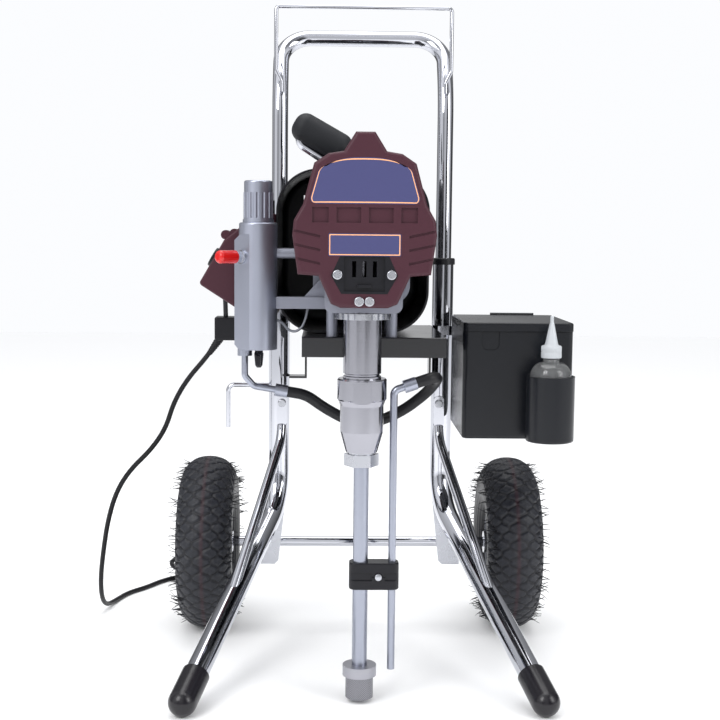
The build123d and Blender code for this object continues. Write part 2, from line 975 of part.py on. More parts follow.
def front_cover():
    """Moulded front cover with a raised label panel, vents, side grooves and a door opening."""
    profile = cover_profile()
    depth = cover_back - cover_front
    shell = Pos(0, cover_back, 0) * extrude(profile, depth, dir=(0, -1, 0))
    shell = fillet(shell.faces().sort_by(Axis.Y)[0].edges(), cover_edge)
    inner = offset(profile, -cover_wall, kind=Kind.INTERSECTION)
    shell -= Pos(0, cover_back + 1, 0) * extrude(inner, depth + 1 - cover_wall, dir=(0, -1, 0))
    shell -= block(
        pump_x - door_half,
        pump_x + door_half,
        cover_front - 1,
        cover_front + cover_wall + 1,
        door_bottom + 4.0,
        door_top - 10.0,
    )
    recess_back = cover_front + cover_wall
    for x0, x1 in vent_spans:
        shell -= block(pump_x + x0, pump_x + x1, cover_front - 1, recess_back, vent_bottom, vent_top)
    backing_half = vent_spans[-1][1] + cover_wall
    shell += block(
        pump_x - backing_half,
        pump_x + backing_half,
        recess_back,
        recess_back + vent_backing,
        vent_bottom - 1,
        vent_top + 1,
    )
    for z in (626.0, 609.0, 592.0):
        for side in (-1, 1):
            groove = front_plate(
                [
                    (pump_x + side * 56.0, z - 7.0),
                    (pump_x + side * 95.0, z + 1.5),
                    (pump_x + side * 95.0, z + 4.5),
                    (pump_x + side * 56.0, z - 4.0),
                ],
                cover_front - 1,
                cover_front + 2.0,
            )
            shell -= groove
    shell -= block(
        pump_x - housing_half - part_gap,
        pump_x + housing_half + part_gap,
        housing_front - part_gap,
        cover_back + 1,
        housing_bottom,
        housing_top + part_gap,
    )
    return shell


def make_covers():
    cover = front_cover()
    panel_depth = 6.0
    screws = []
    for x, z in ((-34.0, 573.0), (34.0, 573.0), (-6.5, 539.5), (6.5, 539.5)):
        screws.append(bolt(pump_x + x, cover_front, cover_front + panel_depth, z, cover_screw_r))
    for one in screws:
        cover -= one
    save("front_cover", cover)
    save("cover_screws", group(*screws))
    save("motor_cowl", motor_cowl())

    back = cover_front + cover_wall + part_gap
    door = block(
        pump_x - door_half - 3.0,
        pump_x + door_half + 3.0,
        back,
        back + door_thickness,
        door_bottom,
        door_top,
    )
    door = fillet(door.edges().filter_by(Axis.Y), 4.0)
    for x in (-13.0, 0.0, 13.0):
        door -= block(
            pump_x + x - 2.5,
            pump_x + x + 2.5,
            back - 1,
            back + 5,
            door_bottom + 22.0,
            door_top - 16.0,
        )
    grip = block(pump_x - 9.0, pump_x + 9.0, back - 6.0, back, door_bottom + 9.0, door_bottom + 12.0)
    save("rod_door", door + grip)


# ---------------------------------------------------------------- pump


def make_pump(yoke_bottom):
    rod_solid = rod((pump_x, pump_y, piston_z), (pump_x, pump_y, yoke_bottom), rod_r)
    rod_solid += rod(
        (pump_x, pump_y, piston_z),
        (pump_x, pump_y, piston_z + piston_height),
        cylinder_bore_r - running_gap,
    )
    save("piston_rod", rod_solid)

    groove = 2.0
    outline = [
        (rod_r + running_gap, cylinder_top),
        (cylinder_r, cylinder_top),
        (cylinder_r, cylinder_bottom + 14.0),
        (cylinder_r - groove, cylinder_bottom + 13.0),
        (cylinder_r - groove, cylinder_bottom + 11.0),
        (cylinder_r, cylinder_bottom + 10.0),
        (cylinder_r, cylinder_bottom),
        (cylinder_bore_r, cylinder_bottom),
        (cylinder_bore_r, cylinder_top - 38.0),
        (rod_r + running_gap, cylinder_top - 38.0),
    ]
    save("pump_cylinder", turned(outline, pump_x, pump_y))

    nut_z = housing_bottom - jam_nut_height - 1.0
    nut = rod((pump_x, pump_y, nut_z), (pump_x, pump_y, nut_z + jam_nut_height), jam_nut_r)
    for index in range(24):
        notch = block(jam_nut_r - 2.5, jam_nut_r + 1, -2.4, 2.4, nut_z - 1, nut_z + jam_nut_height + 1)
        nut -= Pos(pump_x, pump_y, 0) * Rot(0, 0, index * 15) * notch
    nut -= rod((pump_x, pump_y, nut_z - 1), (pump_x, pump_y, housing_bottom), cylinder_r)
    save("jam_nut", nut)

    outline = [
        (cylinder_r + running_gap, 436.0),
        (valve_ring_r - 1.5, 436.0),
        (valve_ring_r, 434.0),
        (valve_ring_r, 409.0),
        (valve_ring_r - 1.5, 407.0),
        (valve_body_r, 400.0),
        (valve_body_r, 366.0),
        (valve_cone_r, valve_bottom),
        (6.0, valve_bottom),
        (6.0, ball_z - 6.4),
        (valve_bore_r, ball_z - 1.0),
        (valve_bore_r, ball_z + ball_r + ball_lift + 2.0),
        (cylinder_bore_r - 4.0, ball_z + ball_r + ball_lift + 8.0),
        (cylinder_bore_r - 4.0, cylinder_bottom),
        (cylinder_r + running_gap, cylinder_bottom),
    ]
    valve = turned(outline, pump_x, pump_y)
    for side in (-1, 1):
        flat = valve_ring_r - 3.5
        valve -= block(
            pump_x - 12.0,
            pump_x + 12.0,
            pump_y + min(side * flat, side * 60.0),
            pump_y + max(side * flat, side * 60.0),
            405.0,
            432.0,
        )
    save("intake_valve", valve)
    save("intake_ball", Pos(pump_x, pump_y, ball_z) * Sphere(ball_r))

    nut = hexagon(nut_r, nut_bottom, valve_bottom - 3.0, pump_x, pump_y)
    nut = fillet(nut.edges().group_by(Axis.Z)[0], 1.0)
    nut += rod((pump_x, pump_y, valve_bottom - 3.0), (pump_x, pump_y, valve_bottom), valve_cone_r - 3.0)
    nut -= rod((pump_x, pump_y, nut_bottom - 1), (pump_x, pump_y, valve_bottom + 1), suction_r)
    save("suction_nut", nut)

    tube_bottom = strainer_top - 10.0
    save(
        "suction_tube",
        pipe(
            (pump_x, pump_y, tube_bottom),
            (pump_x, pump_y, valve_bottom),
            suction_r,
            suction_r - suction_wall,
        ),
    )
    save("strainer", strainer(tube_bottom))


def strainer(tube_bottom):
    """Flange threaded on the tube, with a ribbed cage below it and a closed bottom."""
    outline = [
        (suction_r, strainer_top),
        (strainer_r, strainer_top),
        (strainer_r, strainer_top - 14.0),
        (mesh_r, strainer_top - 14.0),
        (mesh_r, mesh_bottom),
        (0, mesh_bottom),
        (0, mesh_bottom + 2.0),
        (mesh_r - 2.0, mesh_bottom + 2.0),
        (mesh_r - 2.0, tube_bottom),
        (suction_r, tube_bottom),
    ]
    return turned(outline, pump_x, pump_y)


# ---------------------------------------------------------------- paint filter and drain


def filter_body():
    """Round filter housing with a square block on its left side and a cut front corner."""
    body = rod((filter_x, filter_y, filter_bottom), (filter_x, filter_y, filter_top), filter_r)
    body = fillet(body.edges().group_by(Axis.Z)[-1], 3.0)
    side = front_plate(
        [
            (filter_block_left, filter_bottom + 6.0),
            (filter_block_left + 6.0, filter_bottom),
            (filter_x, filter_bottom),
            (filter_x, filter_top - 16.0),
            (filter_block_left + 8.0, filter_top - 16.0),
            (filter_block_left, filter_top - 24.0),
        ],
        filter_y - filter_block_half,
        filter_y + filter_block_half,
    )
    corner = 15.0
    cutter = Pos(filter_block_left, filter_y - filter_block_half, 0) * Rot(0, 0, 45)
    return (body + side) - cutter * block(
        -corner,
        corner,
        -corner,
        corner,
        filter_bottom - 1,
        filter_top - 16.0,
    )


def outlet_point(distance):
    """Point on the outlet's axis, which leaves the cut corner towards the left and front."""
    face = 15.0
    start_x = filter_block_left + face * cos(pi / 4)
    start_y = filter_y - filter_block_half + face * cos(pi / 4)
    reach = distance * cos(pi / 4)
    return (start_x - reach, start_y - reach, outlet_z)


def drain_path():
    return [
        (drain_x, filter_y, filter_bottom - 8.0),
        (drain_x, filter_y, 430.0),
        (drain_x + 12.0, filter_y + 2.0, 416.0),
        (-123.0, filter_y + 4.0, 411.0),
    ]


def make_filter():
    body = filter_body()
    body -= rod(
        (filter_x, filter_y, filter_bottom + 12.0),
        (filter_x, filter_y, filter_top + 1),
        filter_bore_r,
    )
    save("filter_housing", body)

    cap = rod(
        (filter_x, filter_y, filter_top),
        (filter_x, filter_y, filter_top + 4.0),
        filter_cap_r + 1.0,
    )
    flute_top = filter_top + 40.0
    grip = rod((filter_x, filter_y, filter_top + 4.0), (filter_x, filter_y, flute_top), filter_cap_r)
    for index in range(16):
        angle = index * 2 * pi / 16
        x = filter_x + (filter_cap_r + 1.2) * cos(angle)
        y = filter_y + (filter_cap_r + 1.2) * sin(angle)
        grip -= rod((x, y, filter_top + 6.0), (x, y, flute_top + 1), 2.6)
    crown = rod((filter_x, filter_y, flute_top), (filter_x, filter_y, filter_cap_top), filter_cap_r - 0.8)
    crown = fillet(crown.edges().group_by(Axis.Z)[-1], 2.5)
    thread = rod(
        (filter_x, filter_y, filter_top - 14.0),
        (filter_x, filter_y, filter_top),
        filter_bore_r - seat_gap,
    )
    save("filter_cap", cap + grip + crown + thread)

    low = filter_bottom + 12.5
    high = filter_top - 15.0
    element = pipe(
        (filter_x, filter_y, low),
        (filter_x, filter_y, high),
        element_r,
        element_r - element_wall,
    )
    for z in (low, (low + high) / 2 - 2.0, high - 4.0):
        element += pipe(
            (filter_x, filter_y, z),
            (filter_x, filter_y, z + 4.0),
            element_r + 1.5,
            element_r - element_wall,
        )
    save("filter_element", element)

    fitting = rod(outlet_point(0), outlet_point(3.0), outlet_nut_r + 1.0)
    nut_plane = Plane(origin=outlet_point(3.0), z_dir=Vector(*outlet_point(1)) - Vector(*outlet_point(0)))
    fitting += nut_plane * extrude(RegularPolygon(outlet_nut_r, 6), 9.0)
    fitting += rod(outlet_point(12.0), outlet_point(26.0), outlet_thread_r)
    save("outlet_fitting", fitting)

    cap = rod(outlet_point(12.3), outlet_point(12.3 + outlet_cap_length), outlet_cap_r)
    cap = fillet(circles(cap).sort_by(Axis.X)[0], 5.0)
    cap -= rod(outlet_point(12.0), outlet_point(26.3), outlet_thread_r)
    save("outlet_cap", cap)

    lever = turned(
        [
            (0, filter_bottom),
            (5.5, filter_bottom),
            (5.5, filter_bottom - 4.0),
            (6.5, filter_bottom - 6.0),
            (5.0, filter_bottom - 22.0),
            (3.0, filter_bottom - 25.0),
            (0, filter_bottom - 25.0),
        ],
        lever_x,
        filter_y,
    )
    wing = block(
        lever_x - 3.0,
        lever_x + 3.0,
        filter_y - 19.0,
        filter_y,
        filter_bottom - 22.0,
        filter_bottom - 6.0,
    )
    wing = fillet(wing.edges().filter_by(Axis.X), 3.0)
    save("prime_lever", Pos(0, 0, -part_gap) * (lever + wing))


def make_drain():
    """Drain line: nut, bent steel tube and ferrule, the hose behind the pump, and the return tube."""
    path = drain_path()
    nut = rod((drain_x, filter_y, filter_bottom - 9.0), (drain_x, filter_y, filter_bottom), 10.0)
    elbow = swept(path, [9.0, 12.0], drain_r)
    start = Vector(*path[-1])
    heading = (start - Vector(*path[-2])).normalized()
    end = start + heading * ferrule_length
    ferrule = rod(tuple(start), tuple(end), ferrule_r)

    corner = Vector(drain_tube_x, pump_y, drain_corner_z)
    lead_in = Vector(*drain_lead_in).normalized()
    tube_start = corner + lead_in * drain_tube_lead
    hose_end = tube_start + lead_in * ferrule_length
    hose = [
        tuple(end),
        tuple(end + heading * 26.0),
        (end.X + 52.0, end.Y + 8.0, end.Z - 24.0),
        (-20.0, filter_y + 12.0, 366.0),
        (18.0, filter_y + 10.0, 366.0),
        (54.0, filter_y + 2.0, 384.0),
        (84.0, filter_y - 10.0, 410.0),
        (97.0, filter_y - 32.0, 431.0),
        tuple(hose_end + lead_in * 26.0),
        tuple(hose_end),
    ]
    radii = cord_radii(hose)
    print("drain hose radii", [round(r) for r in radii])
    save("drain_hose", swept(hose, radii, hose_r))

    second = rod(tuple(hose_end), tuple(tube_start), ferrule_r)
    save("drain_fittings", group(nut + elbow + ferrule, second))

    points = [tuple(tube_start), tuple(corner), (drain_tube_x, pump_y, drain_tube_bottom)]
    save("drain_tube", swept(points, [drain_bend_r], drain_tube_r, drain_tube_r - drain_tube_wall))

    clip = block(
        pump_x - suction_r - 5.0,
        drain_tube_x + drain_tube_r + 4.0,
        pump_y - clip_half,
        pump_y + clip_half,
        clip_bottom,
        clip_top,
    )
    clip = fillet(clip.edges().filter_by(Axis.Z), 9.0)
    clip = fillet(clip.edges().group_by(Axis.Z)[0], 2.0)
    clip = fillet(clip.edges().group_by(Axis.Z)[-1], 2.0)
    middle = (clip_bottom + clip_top) / 2
    clip -= rod((pump_x, pump_y, clip_bottom - 1), (pump_x, pump_y, clip_top + 1), suction_r)
    clip -= rod(
        (drain_tube_x, pump_y, clip_bottom - 1),
        (drain_tube_x, pump_y, clip_top + 1),
        drain_tube_r,
    )
    clip -= block(
        pump_x - 40.0,
        drain_tube_x + 40.0,
        pump_y - 40.0,
        pump_y - clip_half + 1.5,
        middle - 1.0,
        middle + 1.0,
    )
    bolt_x = (pump_x + suction_r + drain_tube_x - drain_tube_r) / 2
    for side in (-1, 1):
        inner = bolt_x + side * clip_bolt_half
        outer = bolt_x + side * 60.0
        front = pump_y - clip_half
        clip -= block(
            min(inner, outer),
            max(inner, outer),
            front - 1,
            front + clip_band_depth,
            middle - clip_band_gap / 2,
            middle + clip_band_gap / 2,
        )
    clip += rod(
        (bolt_x, pump_y - clip_half - 3.0, middle),
        (bolt_x, pump_y - clip_half + 2.0, middle),
        4.5,
    )
    save("tube_clip", clip)

    cable_y = filter_y + 4.0
    cable = [
        (filter_x + filter_r - 0.3, cable_y, 506.0),
        (filter_x + filter_r + 8.0, cable_y + 1.0, 502.0),
        (filter_x + filter_r + 14.0, cable_y + 1.0, 493.0),
        (filter_x + filter_r + 24.0, cable_y, 490.0),
        (filter_x + filter_r + 33.0, cable_y, 496.0),
        (filter_x + filter_r + 38.0, cable_y + 1.0, 507.0),
        (filter_x + filter_r + 41.0, cable_y, 522.3),
    ]
    save("sensor_cable", swept(cable, cord_radii(cable), cable_r))


# ---------------------------------------------------------------- controls


def panel_point(along, out):
    """Point of the sloping control panel: distance up its slope, and out from its face."""
    low = (-231.0, 553.0)
    up = (cos(radians(panel_tilt)), sin(radians(panel_tilt)))
    return (low[0] + up[0] * along - up[1] * out, low[1] + up[1] * along + up[0] * out)


cord_z = cord_d / 2
cord_route = [
    (gland_x - 12.0, upright_y, gland_bottom - 1.0),
    (gland_x - 30.0, upright_y, 432.0),
    (gland_x - 60.0, upright_y, 398.0),
    (gland_x - 82.0, upright_y + 1.0, 360.0),
    (gland_x - 94.0, upright_y + 2.0, 320.0),
    (gland_x - 118.0, upright_y + 4.0, 285.0),
    (gland_x - 152.0, upright_y + 8.0, 252.0),
    (gland_x - 174.0, upright_y + 12.0, 216.0),
    (gland_x - 188.0, upright_y + 17.0, 170.0),
    (gland_x - 197.0, upright_y + 25.0, 119.0),
    (gland_x - 204.0, upright_y + 38.0, 72.0),
    (gland_x - 207.0, upright_y + 62.0, 33.0),
    (gland_x - 206.0, upright_y + 98.0, 9.0),
    (gland_x - 198.0, upright_y + 144.0, cord_z),
    (gland_x - 184.0, upright_y + 190.0, cord_z + 0.1),
    (gland_x - 156.0, upright_y + 226.0, cord_z),
    (coil_at[0] - coil_mid_r - 30.0, coil_at[1] - 24.0, cord_z + 0.1),
    (coil_at[0] - coil_mid_r - 2.0, coil_at[1] + 6.0, cord_z),
]


def make_controls():
    """Control box beside the motor with a sloping panel, its knob and switch, and the cord's gland."""
    top = panel_point(70.0, 0.0)
    box = front_plate(
        [
            panel_point(0.0, 0.0),
            top,
            (-150.0, switch_z),
            (cowl_x - cowl_half - part_gap, switch_z),
            (cowl_x - cowl_half - part_gap, 506.0),
            (-158.0, 506.0),
        ],
        box_front,
        box_back,
    )
    box = fillet(box.edges().filter_by(Axis.Y), 5.0)
    box = fillet(box.faces().sort_by(Axis.Y)[0].edges(), 2.5)
    for x, z in ((-194.0, 621.0), (-182.0, 623.0)):
        box += rod((x, box_front + 4.0, z), (x, box_front + 34.0, z), 6.5)
    knob_base = panel_point(knob_along, 0.0)
    knob_tip = panel_point(knob_along, knob_height)
    stem = panel_point(knob_along, -knob_stem_depth)
    stem_end = panel_point(knob_along, part_gap - knob_stem_depth)
    box -= rod((stem[0], knob_y, stem[1]), (knob_tip[0], knob_y, knob_tip[1]), knob_stem_r)
    box -= block(
        switch_x - 7.0,
        switch_x + 7.0,
        switch_y - 12.0,
        switch_y + 12.0,
        switch_z - 5.0,
        switch_z + 1,
    )
    save("control_box", box)

    knob = rod((knob_base[0], knob_y, knob_base[1]), (knob_tip[0], knob_y, knob_tip[1]), knob_r)
    knob = fillet(circles(knob), 2.0)
    knob = Pos(cos(radians(panel_tilt + 90)) * part_gap, 0, sin(radians(panel_tilt + 90)) * part_gap) * knob
    stem_r = knob_stem_r - seat_gap
    knob += rod((stem_end[0], knob_y, stem_end[1]), (knob_tip[0], knob_y, knob_tip[1]), stem_r)
    save("pressure_knob", knob)

    lever = rod(
        (switch_x - 4.0, switch_y, switch_z + 4.0),
        (switch_x + 4.0, switch_y, switch_z + 4.0),
        6.0,
    )
    lever += block(
        switch_x - 4.0,
        switch_x + 4.0,
        switch_y - 3.0,
        switch_y + 3.0,
        switch_z + 4.0,
        switch_z + 20.0,
    )
    pivot = Pos(switch_x, switch_y, switch_z + 4.0)
    save("power_switch", pivot * Rot(switch_throw / 2, 0, 0) * pivot.inverse() * lever)

    gland_y = upright_y
    body = block(
        gland_x - gland_half,
        gland_x + gland_half,
        gland_y - 17.0,
        gland_y + 17.0,
        gland_bottom,
        gland_top,
    )
    body = fillet(body.edges(), 3.0)
    body += block(
        gland_x + gland_half - 2.0,
        -upright_x - tube_r,
        gland_y - 8.0,
        gland_y + 8.0,
        470.0,
        486.0,
    )
    body += rod((gland_x, gland_y - 8.0, gland_top - 4.0), (gland_x, box_back - 10.0, 546.0), 3.6)
    nose = Vector(*cord_route[0])
    heading = (nose - Vector(*cord_route[1])).normalized()
    body += rod(tuple(nose), tuple(nose + heading * 14.0), cord_d / 2 + 2.4)
    body -= box
    body -= leg_tube_left()
    save("cord_gland", body)


def leg_tube_left():
    return mirrored(rod(leg_top, leg_bend, tube_r))


# ---------------------------------------------------------------- power cord


def make_cord():
    """Cord from the gland to the floor, its coil behind the left wheel, and the plug."""
    coil_x, coil_y = coil_at
    radii = cord_radii(cord_route)
    print("cord radii", [round(r) for r in radii])
    tube = swept(cord_route, radii, cord_d / 2)
    path = FilletPolyline(*cord_route, radius=radii)
    share = tube.volume / (pi * (cord_d / 2) ** 2 * path.length)
    print("cord length", round(path.length), "volume share", round(share, 4))
    ring = Pos(coil_x, coil_y, coil_tube_r) * Torus(coil_mid_r, coil_tube_r)
    save("power_cord", tube - ring)
    save("cord_coil", ring)
    save("plug", plug(coil_x, coil_y + coil_mid_r - 30.0))


def plug(x, y):
    """Two-pin plug lying on the coil."""
    z = 2 * coil_tube_r + plug_r
    body = rod((x - 14.0, y, z), (x + 18.0, y, z), plug_r)
    body = fillet(circles(body), 3.0)
    body += rod((x - 32.0, y, z), (x - 12.0, y, z), plug_neck_r)
    for side in (-1, 1):
        body += rod(
            (x + 17.0, y + side * pin_spacing / 2, z),
            (x + 37.0, y + side * pin_spacing / 2, z),
            pin_r,
        )
    return body


# ---------------------------------------------------------------- accessories


def make_carry_handle():
    """Bent bar on the motor cowl with a thick grip over its upper run."""
    left = (grip_left[0], carry_y, grip_left[1])
    right = (grip_right[0], carry_y, grip_right[1])
    bar = swept(
        [
            (-36.0, carry_y, cowl_top - 2.0),
            (-62.0, carry_y, 731.0),
            (-92.0, carry_y, 750.0),
            (-98.0, carry_y, 781.0),
            right,
            (18.0, carry_y, cowl_top - 2.0),
        ],
        [22.0, 14.0, 8.0, 22.0],
        carry_bar_r,
    )
    bar -= cowl_shape(cowl_half, cowl_bottom, cowl_top, cowl_front, cowl_back, cowl_corner)
    grip = rod(left, right, carry_grip_r)
    grip = fillet(circles(grip), carry_grip_r * 0.8)
    grip -= bar
    return bar, grip


def toolbox_body():
    """Open-topped plastic box with a recess and a round bottle pocket in front."""
    body = block(toolbox_left, toolbox_right, toolbox_front, toolbox_back, toolbox_bottom, toolbox_top)
    body = fillet(body.edges().filter_by(Axis.Z), 9.0)
    body = fillet(body.edges().group_by(Axis.Z)[0], 4.0)
    pocket = rod((pocket_x, pocket_y, pocket_bottom), (pocket_x, pocket_y, pocket_top), pocket_r)
    pocket = fillet(pocket.edges().group_by(Axis.Z)[0], 3.0)
    pocket += block(
        pocket_x - pocket_web_half,
        pocket_x + pocket_web_half,
        pocket_y,
        toolbox_front + 1,
        pocket_bottom + 3.0,
        pocket_top,
    )
    inner = block(
        toolbox_left + toolbox_wall,
        toolbox_right - toolbox_wall,
        toolbox_front + toolbox_wall,
        toolbox_back - toolbox_wall,
        toolbox_bottom + toolbox_wall,
        toolbox_top + 1,
    )
    recess = rod((pocket_x, pocket_y, pocket_bottom), (pocket_x, pocket_y, toolbox_top - 12.0), pocket_r)
    hollow = rod(
        (pocket_x, pocket_y, pocket_bottom + toolbox_wall),
        (pocket_x, pocket_y, toolbox_top - 15.0),
        bottle_r + 2.0,
    )
    body = (body + pocket) - (inner - recess)
    body -= hollow
    open_front = block(
        pocket_x - pocket_r - 1,
        pocket_x + pocket_r + 1,
        pocket_y - pocket_r - 1,
        toolbox_front,
        pocket_top,
        toolbox_top,
    )
    body -= open_front
    finger = block(
        toolbox_left + 26.0,
        toolbox_left + 50.0,
        toolbox_front - 1,
        toolbox_front + 1.5,
        toolbox_top - 26.0,
        toolbox_top,
    )
    body -= fillet(finger.edges().filter_by(Axis.Y).group_by(Axis.Z)[0], 8.0)
    for low, high in lid_knuckles:
        body += rod((low, toolbox_back, lid_axis_z), (high, toolbox_back, lid_axis_z), lid_barrel_r)
        body += block(low, high, toolbox_back, toolbox_back + lid_barrel_r, toolbox_top - 7.0, lid_axis_z)
    return body


def toolbox_lid():
    """Flat lid with a turned-down rim that lies on the box, hinged along its back edge."""
    low = toolbox_top + part_gap
    lid = block(toolbox_left, toolbox_right, toolbox_front - 4.0, toolbox_back, low, low + lid_height)
    lid = fillet(lid.edges().filter_by(Axis.Z), 9.0)
    lid = fillet(lid.edges().group_by(Axis.Z)[-1], 3.0)
    inset = toolbox_wall + 1.0
    lid -= block(
        toolbox_left + inset,
        toolbox_right - inset,
        toolbox_front + inset,
        toolbox_back - inset,
        low - 1,
        low + lid_height - toolbox_wall,
    )
    for start, end in lid_knuckles:
        notch_front = toolbox_back - lid_barrel_r - part_gap
        lid -= block(
            start - part_gap,
            end + part_gap,
            notch_front,
            toolbox_back + 1,
            low - 1,
            lid_axis_z + 1,
        )
    barrel_low = lid_knuckles[0][1] + part_gap
    barrel_high = lid_knuckles[1][0] - part_gap
    lid += rod(
        (barrel_low, toolbox_back, lid_axis_z),
        (barrel_high, toolbox_back, lid_axis_z),
        lid_barrel_r,
    )
    return lid


def make_accessories():
    bar, grip = make_carry_handle()
    save("carry_handle", bar)
    save("carry_grip", grip)
    save("toolbox", toolbox_body())
    save("toolbox_lid", toolbox_lid())

    base = pocket_bottom + toolbox_wall + part_gap
    outline = [
        (0, base),
        (bottle_r - 3.0, base),
        (bottle_r, base + 3.0),
        (bottle_r, bottle_shoulder),
        (bottle_r - 6.0, bottle_shoulder + 10.0),
        (bottle_neck_r, bottle_top - 4.0),
        (bottle_neck_r, bottle_top),
        (0, bottle_top),
    ]
    save("oil_bottle", turned(outline, pocket_x, pocket_y))
    outline = [
        (0, bottle_top),
        (14.0, bottle_top),
        (14.0, bottle_top + 15.0),
        (11.0, bottle_top + 19.0),
        (5.0, bottle_top + 22.0),
        (2.0, nozzle_top),
        (0, nozzle_top),
    ]
    save("bottle_cap", turned(outline, pocket_x, pocket_y))


make_legs()
make_handle()
make_running_gear()
make_wheels()
make_platform()
make_hooks()
yoke_bottom = make_drive()
make_covers()
make_pump(yoke_bottom)
make_filter()
make_drain()
make_controls()
make_cord()
make_accessories()
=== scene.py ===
import math

import bpy
import numpy as np
from mathutils import Matrix, Vector


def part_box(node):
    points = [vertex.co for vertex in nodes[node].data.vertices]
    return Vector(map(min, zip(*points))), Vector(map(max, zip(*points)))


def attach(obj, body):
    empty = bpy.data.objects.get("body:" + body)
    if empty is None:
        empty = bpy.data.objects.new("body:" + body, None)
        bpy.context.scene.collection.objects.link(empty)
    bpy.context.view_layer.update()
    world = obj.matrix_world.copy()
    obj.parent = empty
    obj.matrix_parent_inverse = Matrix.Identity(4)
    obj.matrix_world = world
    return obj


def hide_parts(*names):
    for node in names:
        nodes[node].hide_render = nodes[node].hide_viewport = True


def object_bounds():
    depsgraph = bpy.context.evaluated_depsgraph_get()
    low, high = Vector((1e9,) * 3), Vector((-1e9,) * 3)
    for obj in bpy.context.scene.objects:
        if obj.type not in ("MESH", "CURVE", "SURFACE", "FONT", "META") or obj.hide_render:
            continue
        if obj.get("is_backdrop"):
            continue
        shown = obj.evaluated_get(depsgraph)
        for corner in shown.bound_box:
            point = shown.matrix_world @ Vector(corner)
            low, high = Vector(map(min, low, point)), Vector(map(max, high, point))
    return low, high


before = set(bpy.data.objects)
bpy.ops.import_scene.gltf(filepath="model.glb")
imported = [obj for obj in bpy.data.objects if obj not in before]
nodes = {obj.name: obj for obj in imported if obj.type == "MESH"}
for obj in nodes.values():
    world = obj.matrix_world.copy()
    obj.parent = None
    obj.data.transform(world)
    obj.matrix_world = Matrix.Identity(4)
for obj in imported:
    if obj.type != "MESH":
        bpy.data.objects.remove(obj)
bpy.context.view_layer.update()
rng = np.random.default_rng(11)
mm = 0.001
print("stage: frame loaded,", len(nodes), "nodes")


# ---- meshes from arrays ----

def pieceFromArrays(name, points, faces, material, body, smooth=True):
    # a mesh from an array of points and an array of four-cornered faces, riding on a body
    mesh = bpy.data.meshes.new(name)
    mesh.from_pydata(points.reshape(-1, 3).tolist(), [], faces.tolist())
    mesh.polygons.foreach_set("use_smooth", np.full(len(mesh.polygons), smooth))
    mesh.materials.append(material)
    mesh.update()
    piece = bpy.data.objects.new(name, mesh)
    bpy.context.scene.collection.objects.link(piece)
    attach(piece, body)
    return piece


def gridFaces(rows, columns, closeRows=False, closeColumns=False):
    # four-cornered faces of a grid numbered row by row; a closed side joins its last line to its first
    rowIndex = np.arange(rows if closeRows else rows - 1)
    columnIndex = np.arange(columns if closeColumns else columns - 1)
    r, c = np.meshgrid(rowIndex, columnIndex, indexing="ij")
    rNext, cNext = (r + 1) % rows, (c + 1) % columns
    corners = [r * columns + c, r * columns + cNext, rNext * columns + cNext, rNext * columns + c]
    return np.stack(corners, axis=-1).reshape(-1, 4)


def turnedGrid(radius, height, steps, ribs=0, ribDepth=0.0, ribRows=None):
    # revolution about Z: x = r cos a, y = r sin a, z = h, where r is cut by ribDepth (1 + cos(ribs a)) / 2
    angle = np.linspace(0, 2 * np.pi, steps, endpoint=False)
    r = np.repeat(np.asarray(radius, float)[:, None], steps, axis=1)
    if ribs:
        r = r - np.asarray(ribRows, float)[:, None] * ribDepth * (1 + np.cos(ribs * angle))[None, :] / 2
    z = np.repeat(np.asarray(height, float)[:, None], steps, axis=1)
    return np.stack([r * np.cos(angle), r * np.sin(angle), z], axis=-1)


def centreOf(node):
    low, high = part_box(node)
    return np.array((low + high) / 2)


# ---- shader groups ----

def newGroup(name, inputs, outputs):
    # a node group with number inputs (name, default) and outputs (name, socket type)
    group = bpy.data.node_groups.new(name, "ShaderNodeTree")
    for label, default in inputs:
        socket = group.interface.new_socket(label, in_out="INPUT", socket_type="NodeSocketFloat")
        socket.default_value = default
    for label, kind in outputs:
        group.interface.new_socket(label, in_out="OUTPUT", socket_type=kind)
    start = group.nodes.new("NodeGroupInput")
    end = group.nodes.new("NodeGroupOutput")
    return group, start, end


def mathNode(tree, operation, first, second=None, third=None, clamp=False):
    # a Math node whose inputs are numbers or other sockets
    node = tree.nodes.new("ShaderNodeMath")
    node.operation = operation
    node.use_clamp = clamp
    for index, value in enumerate((first, second, third)):
        if value is None:
            continue
        if isinstance(value, (int, float)):
            node.inputs[index].default_value = value
        else:
            tree.links.new(value, node.inputs[index])
    return node.outputs[0]


def noiseNode(tree, position, scale, detail=3.0):
    noise = tree.nodes.new("ShaderNodeTexNoise")
    noise.inputs["Detail"].default_value = detail
    tree.links.new(position, noise.inputs["Vector"])
    if isinstance(scale, (int, float)):
        noise.inputs["Scale"].default_value = scale
    else:
        tree.links.new(scale, noise.inputs["Scale"])
    return noise.outputs["Fac"]


def objectPosition(tree):
    return tree.nodes.new("ShaderNodeTexCoord").outputs["Object"]


def makeGrainGroup():
    # fine moulded or cast grain: height is two noises, one three times as fine as the other
    group, start, end = newGroup("surfaceGrain", [("Scale", 900.0)], [("Height", "NodeSocketFloat")])
    position = objectPosition(group)
    coarse = noiseNode(group, position, start.outputs["Scale"], 4.0)
    fine = noiseNode(group, position, mathNode(group, "MULTIPLY", start.outputs["Scale"], 3.0), 2.0)
    group.links.new(
        mathNode(
            group, "ADD", mathNode(group, "MULTIPLY", coarse, 0.6),
            mathNode(group, "MULTIPLY", fine, 0.4)
        ),
        end.inputs["Height"]
    )
    return group


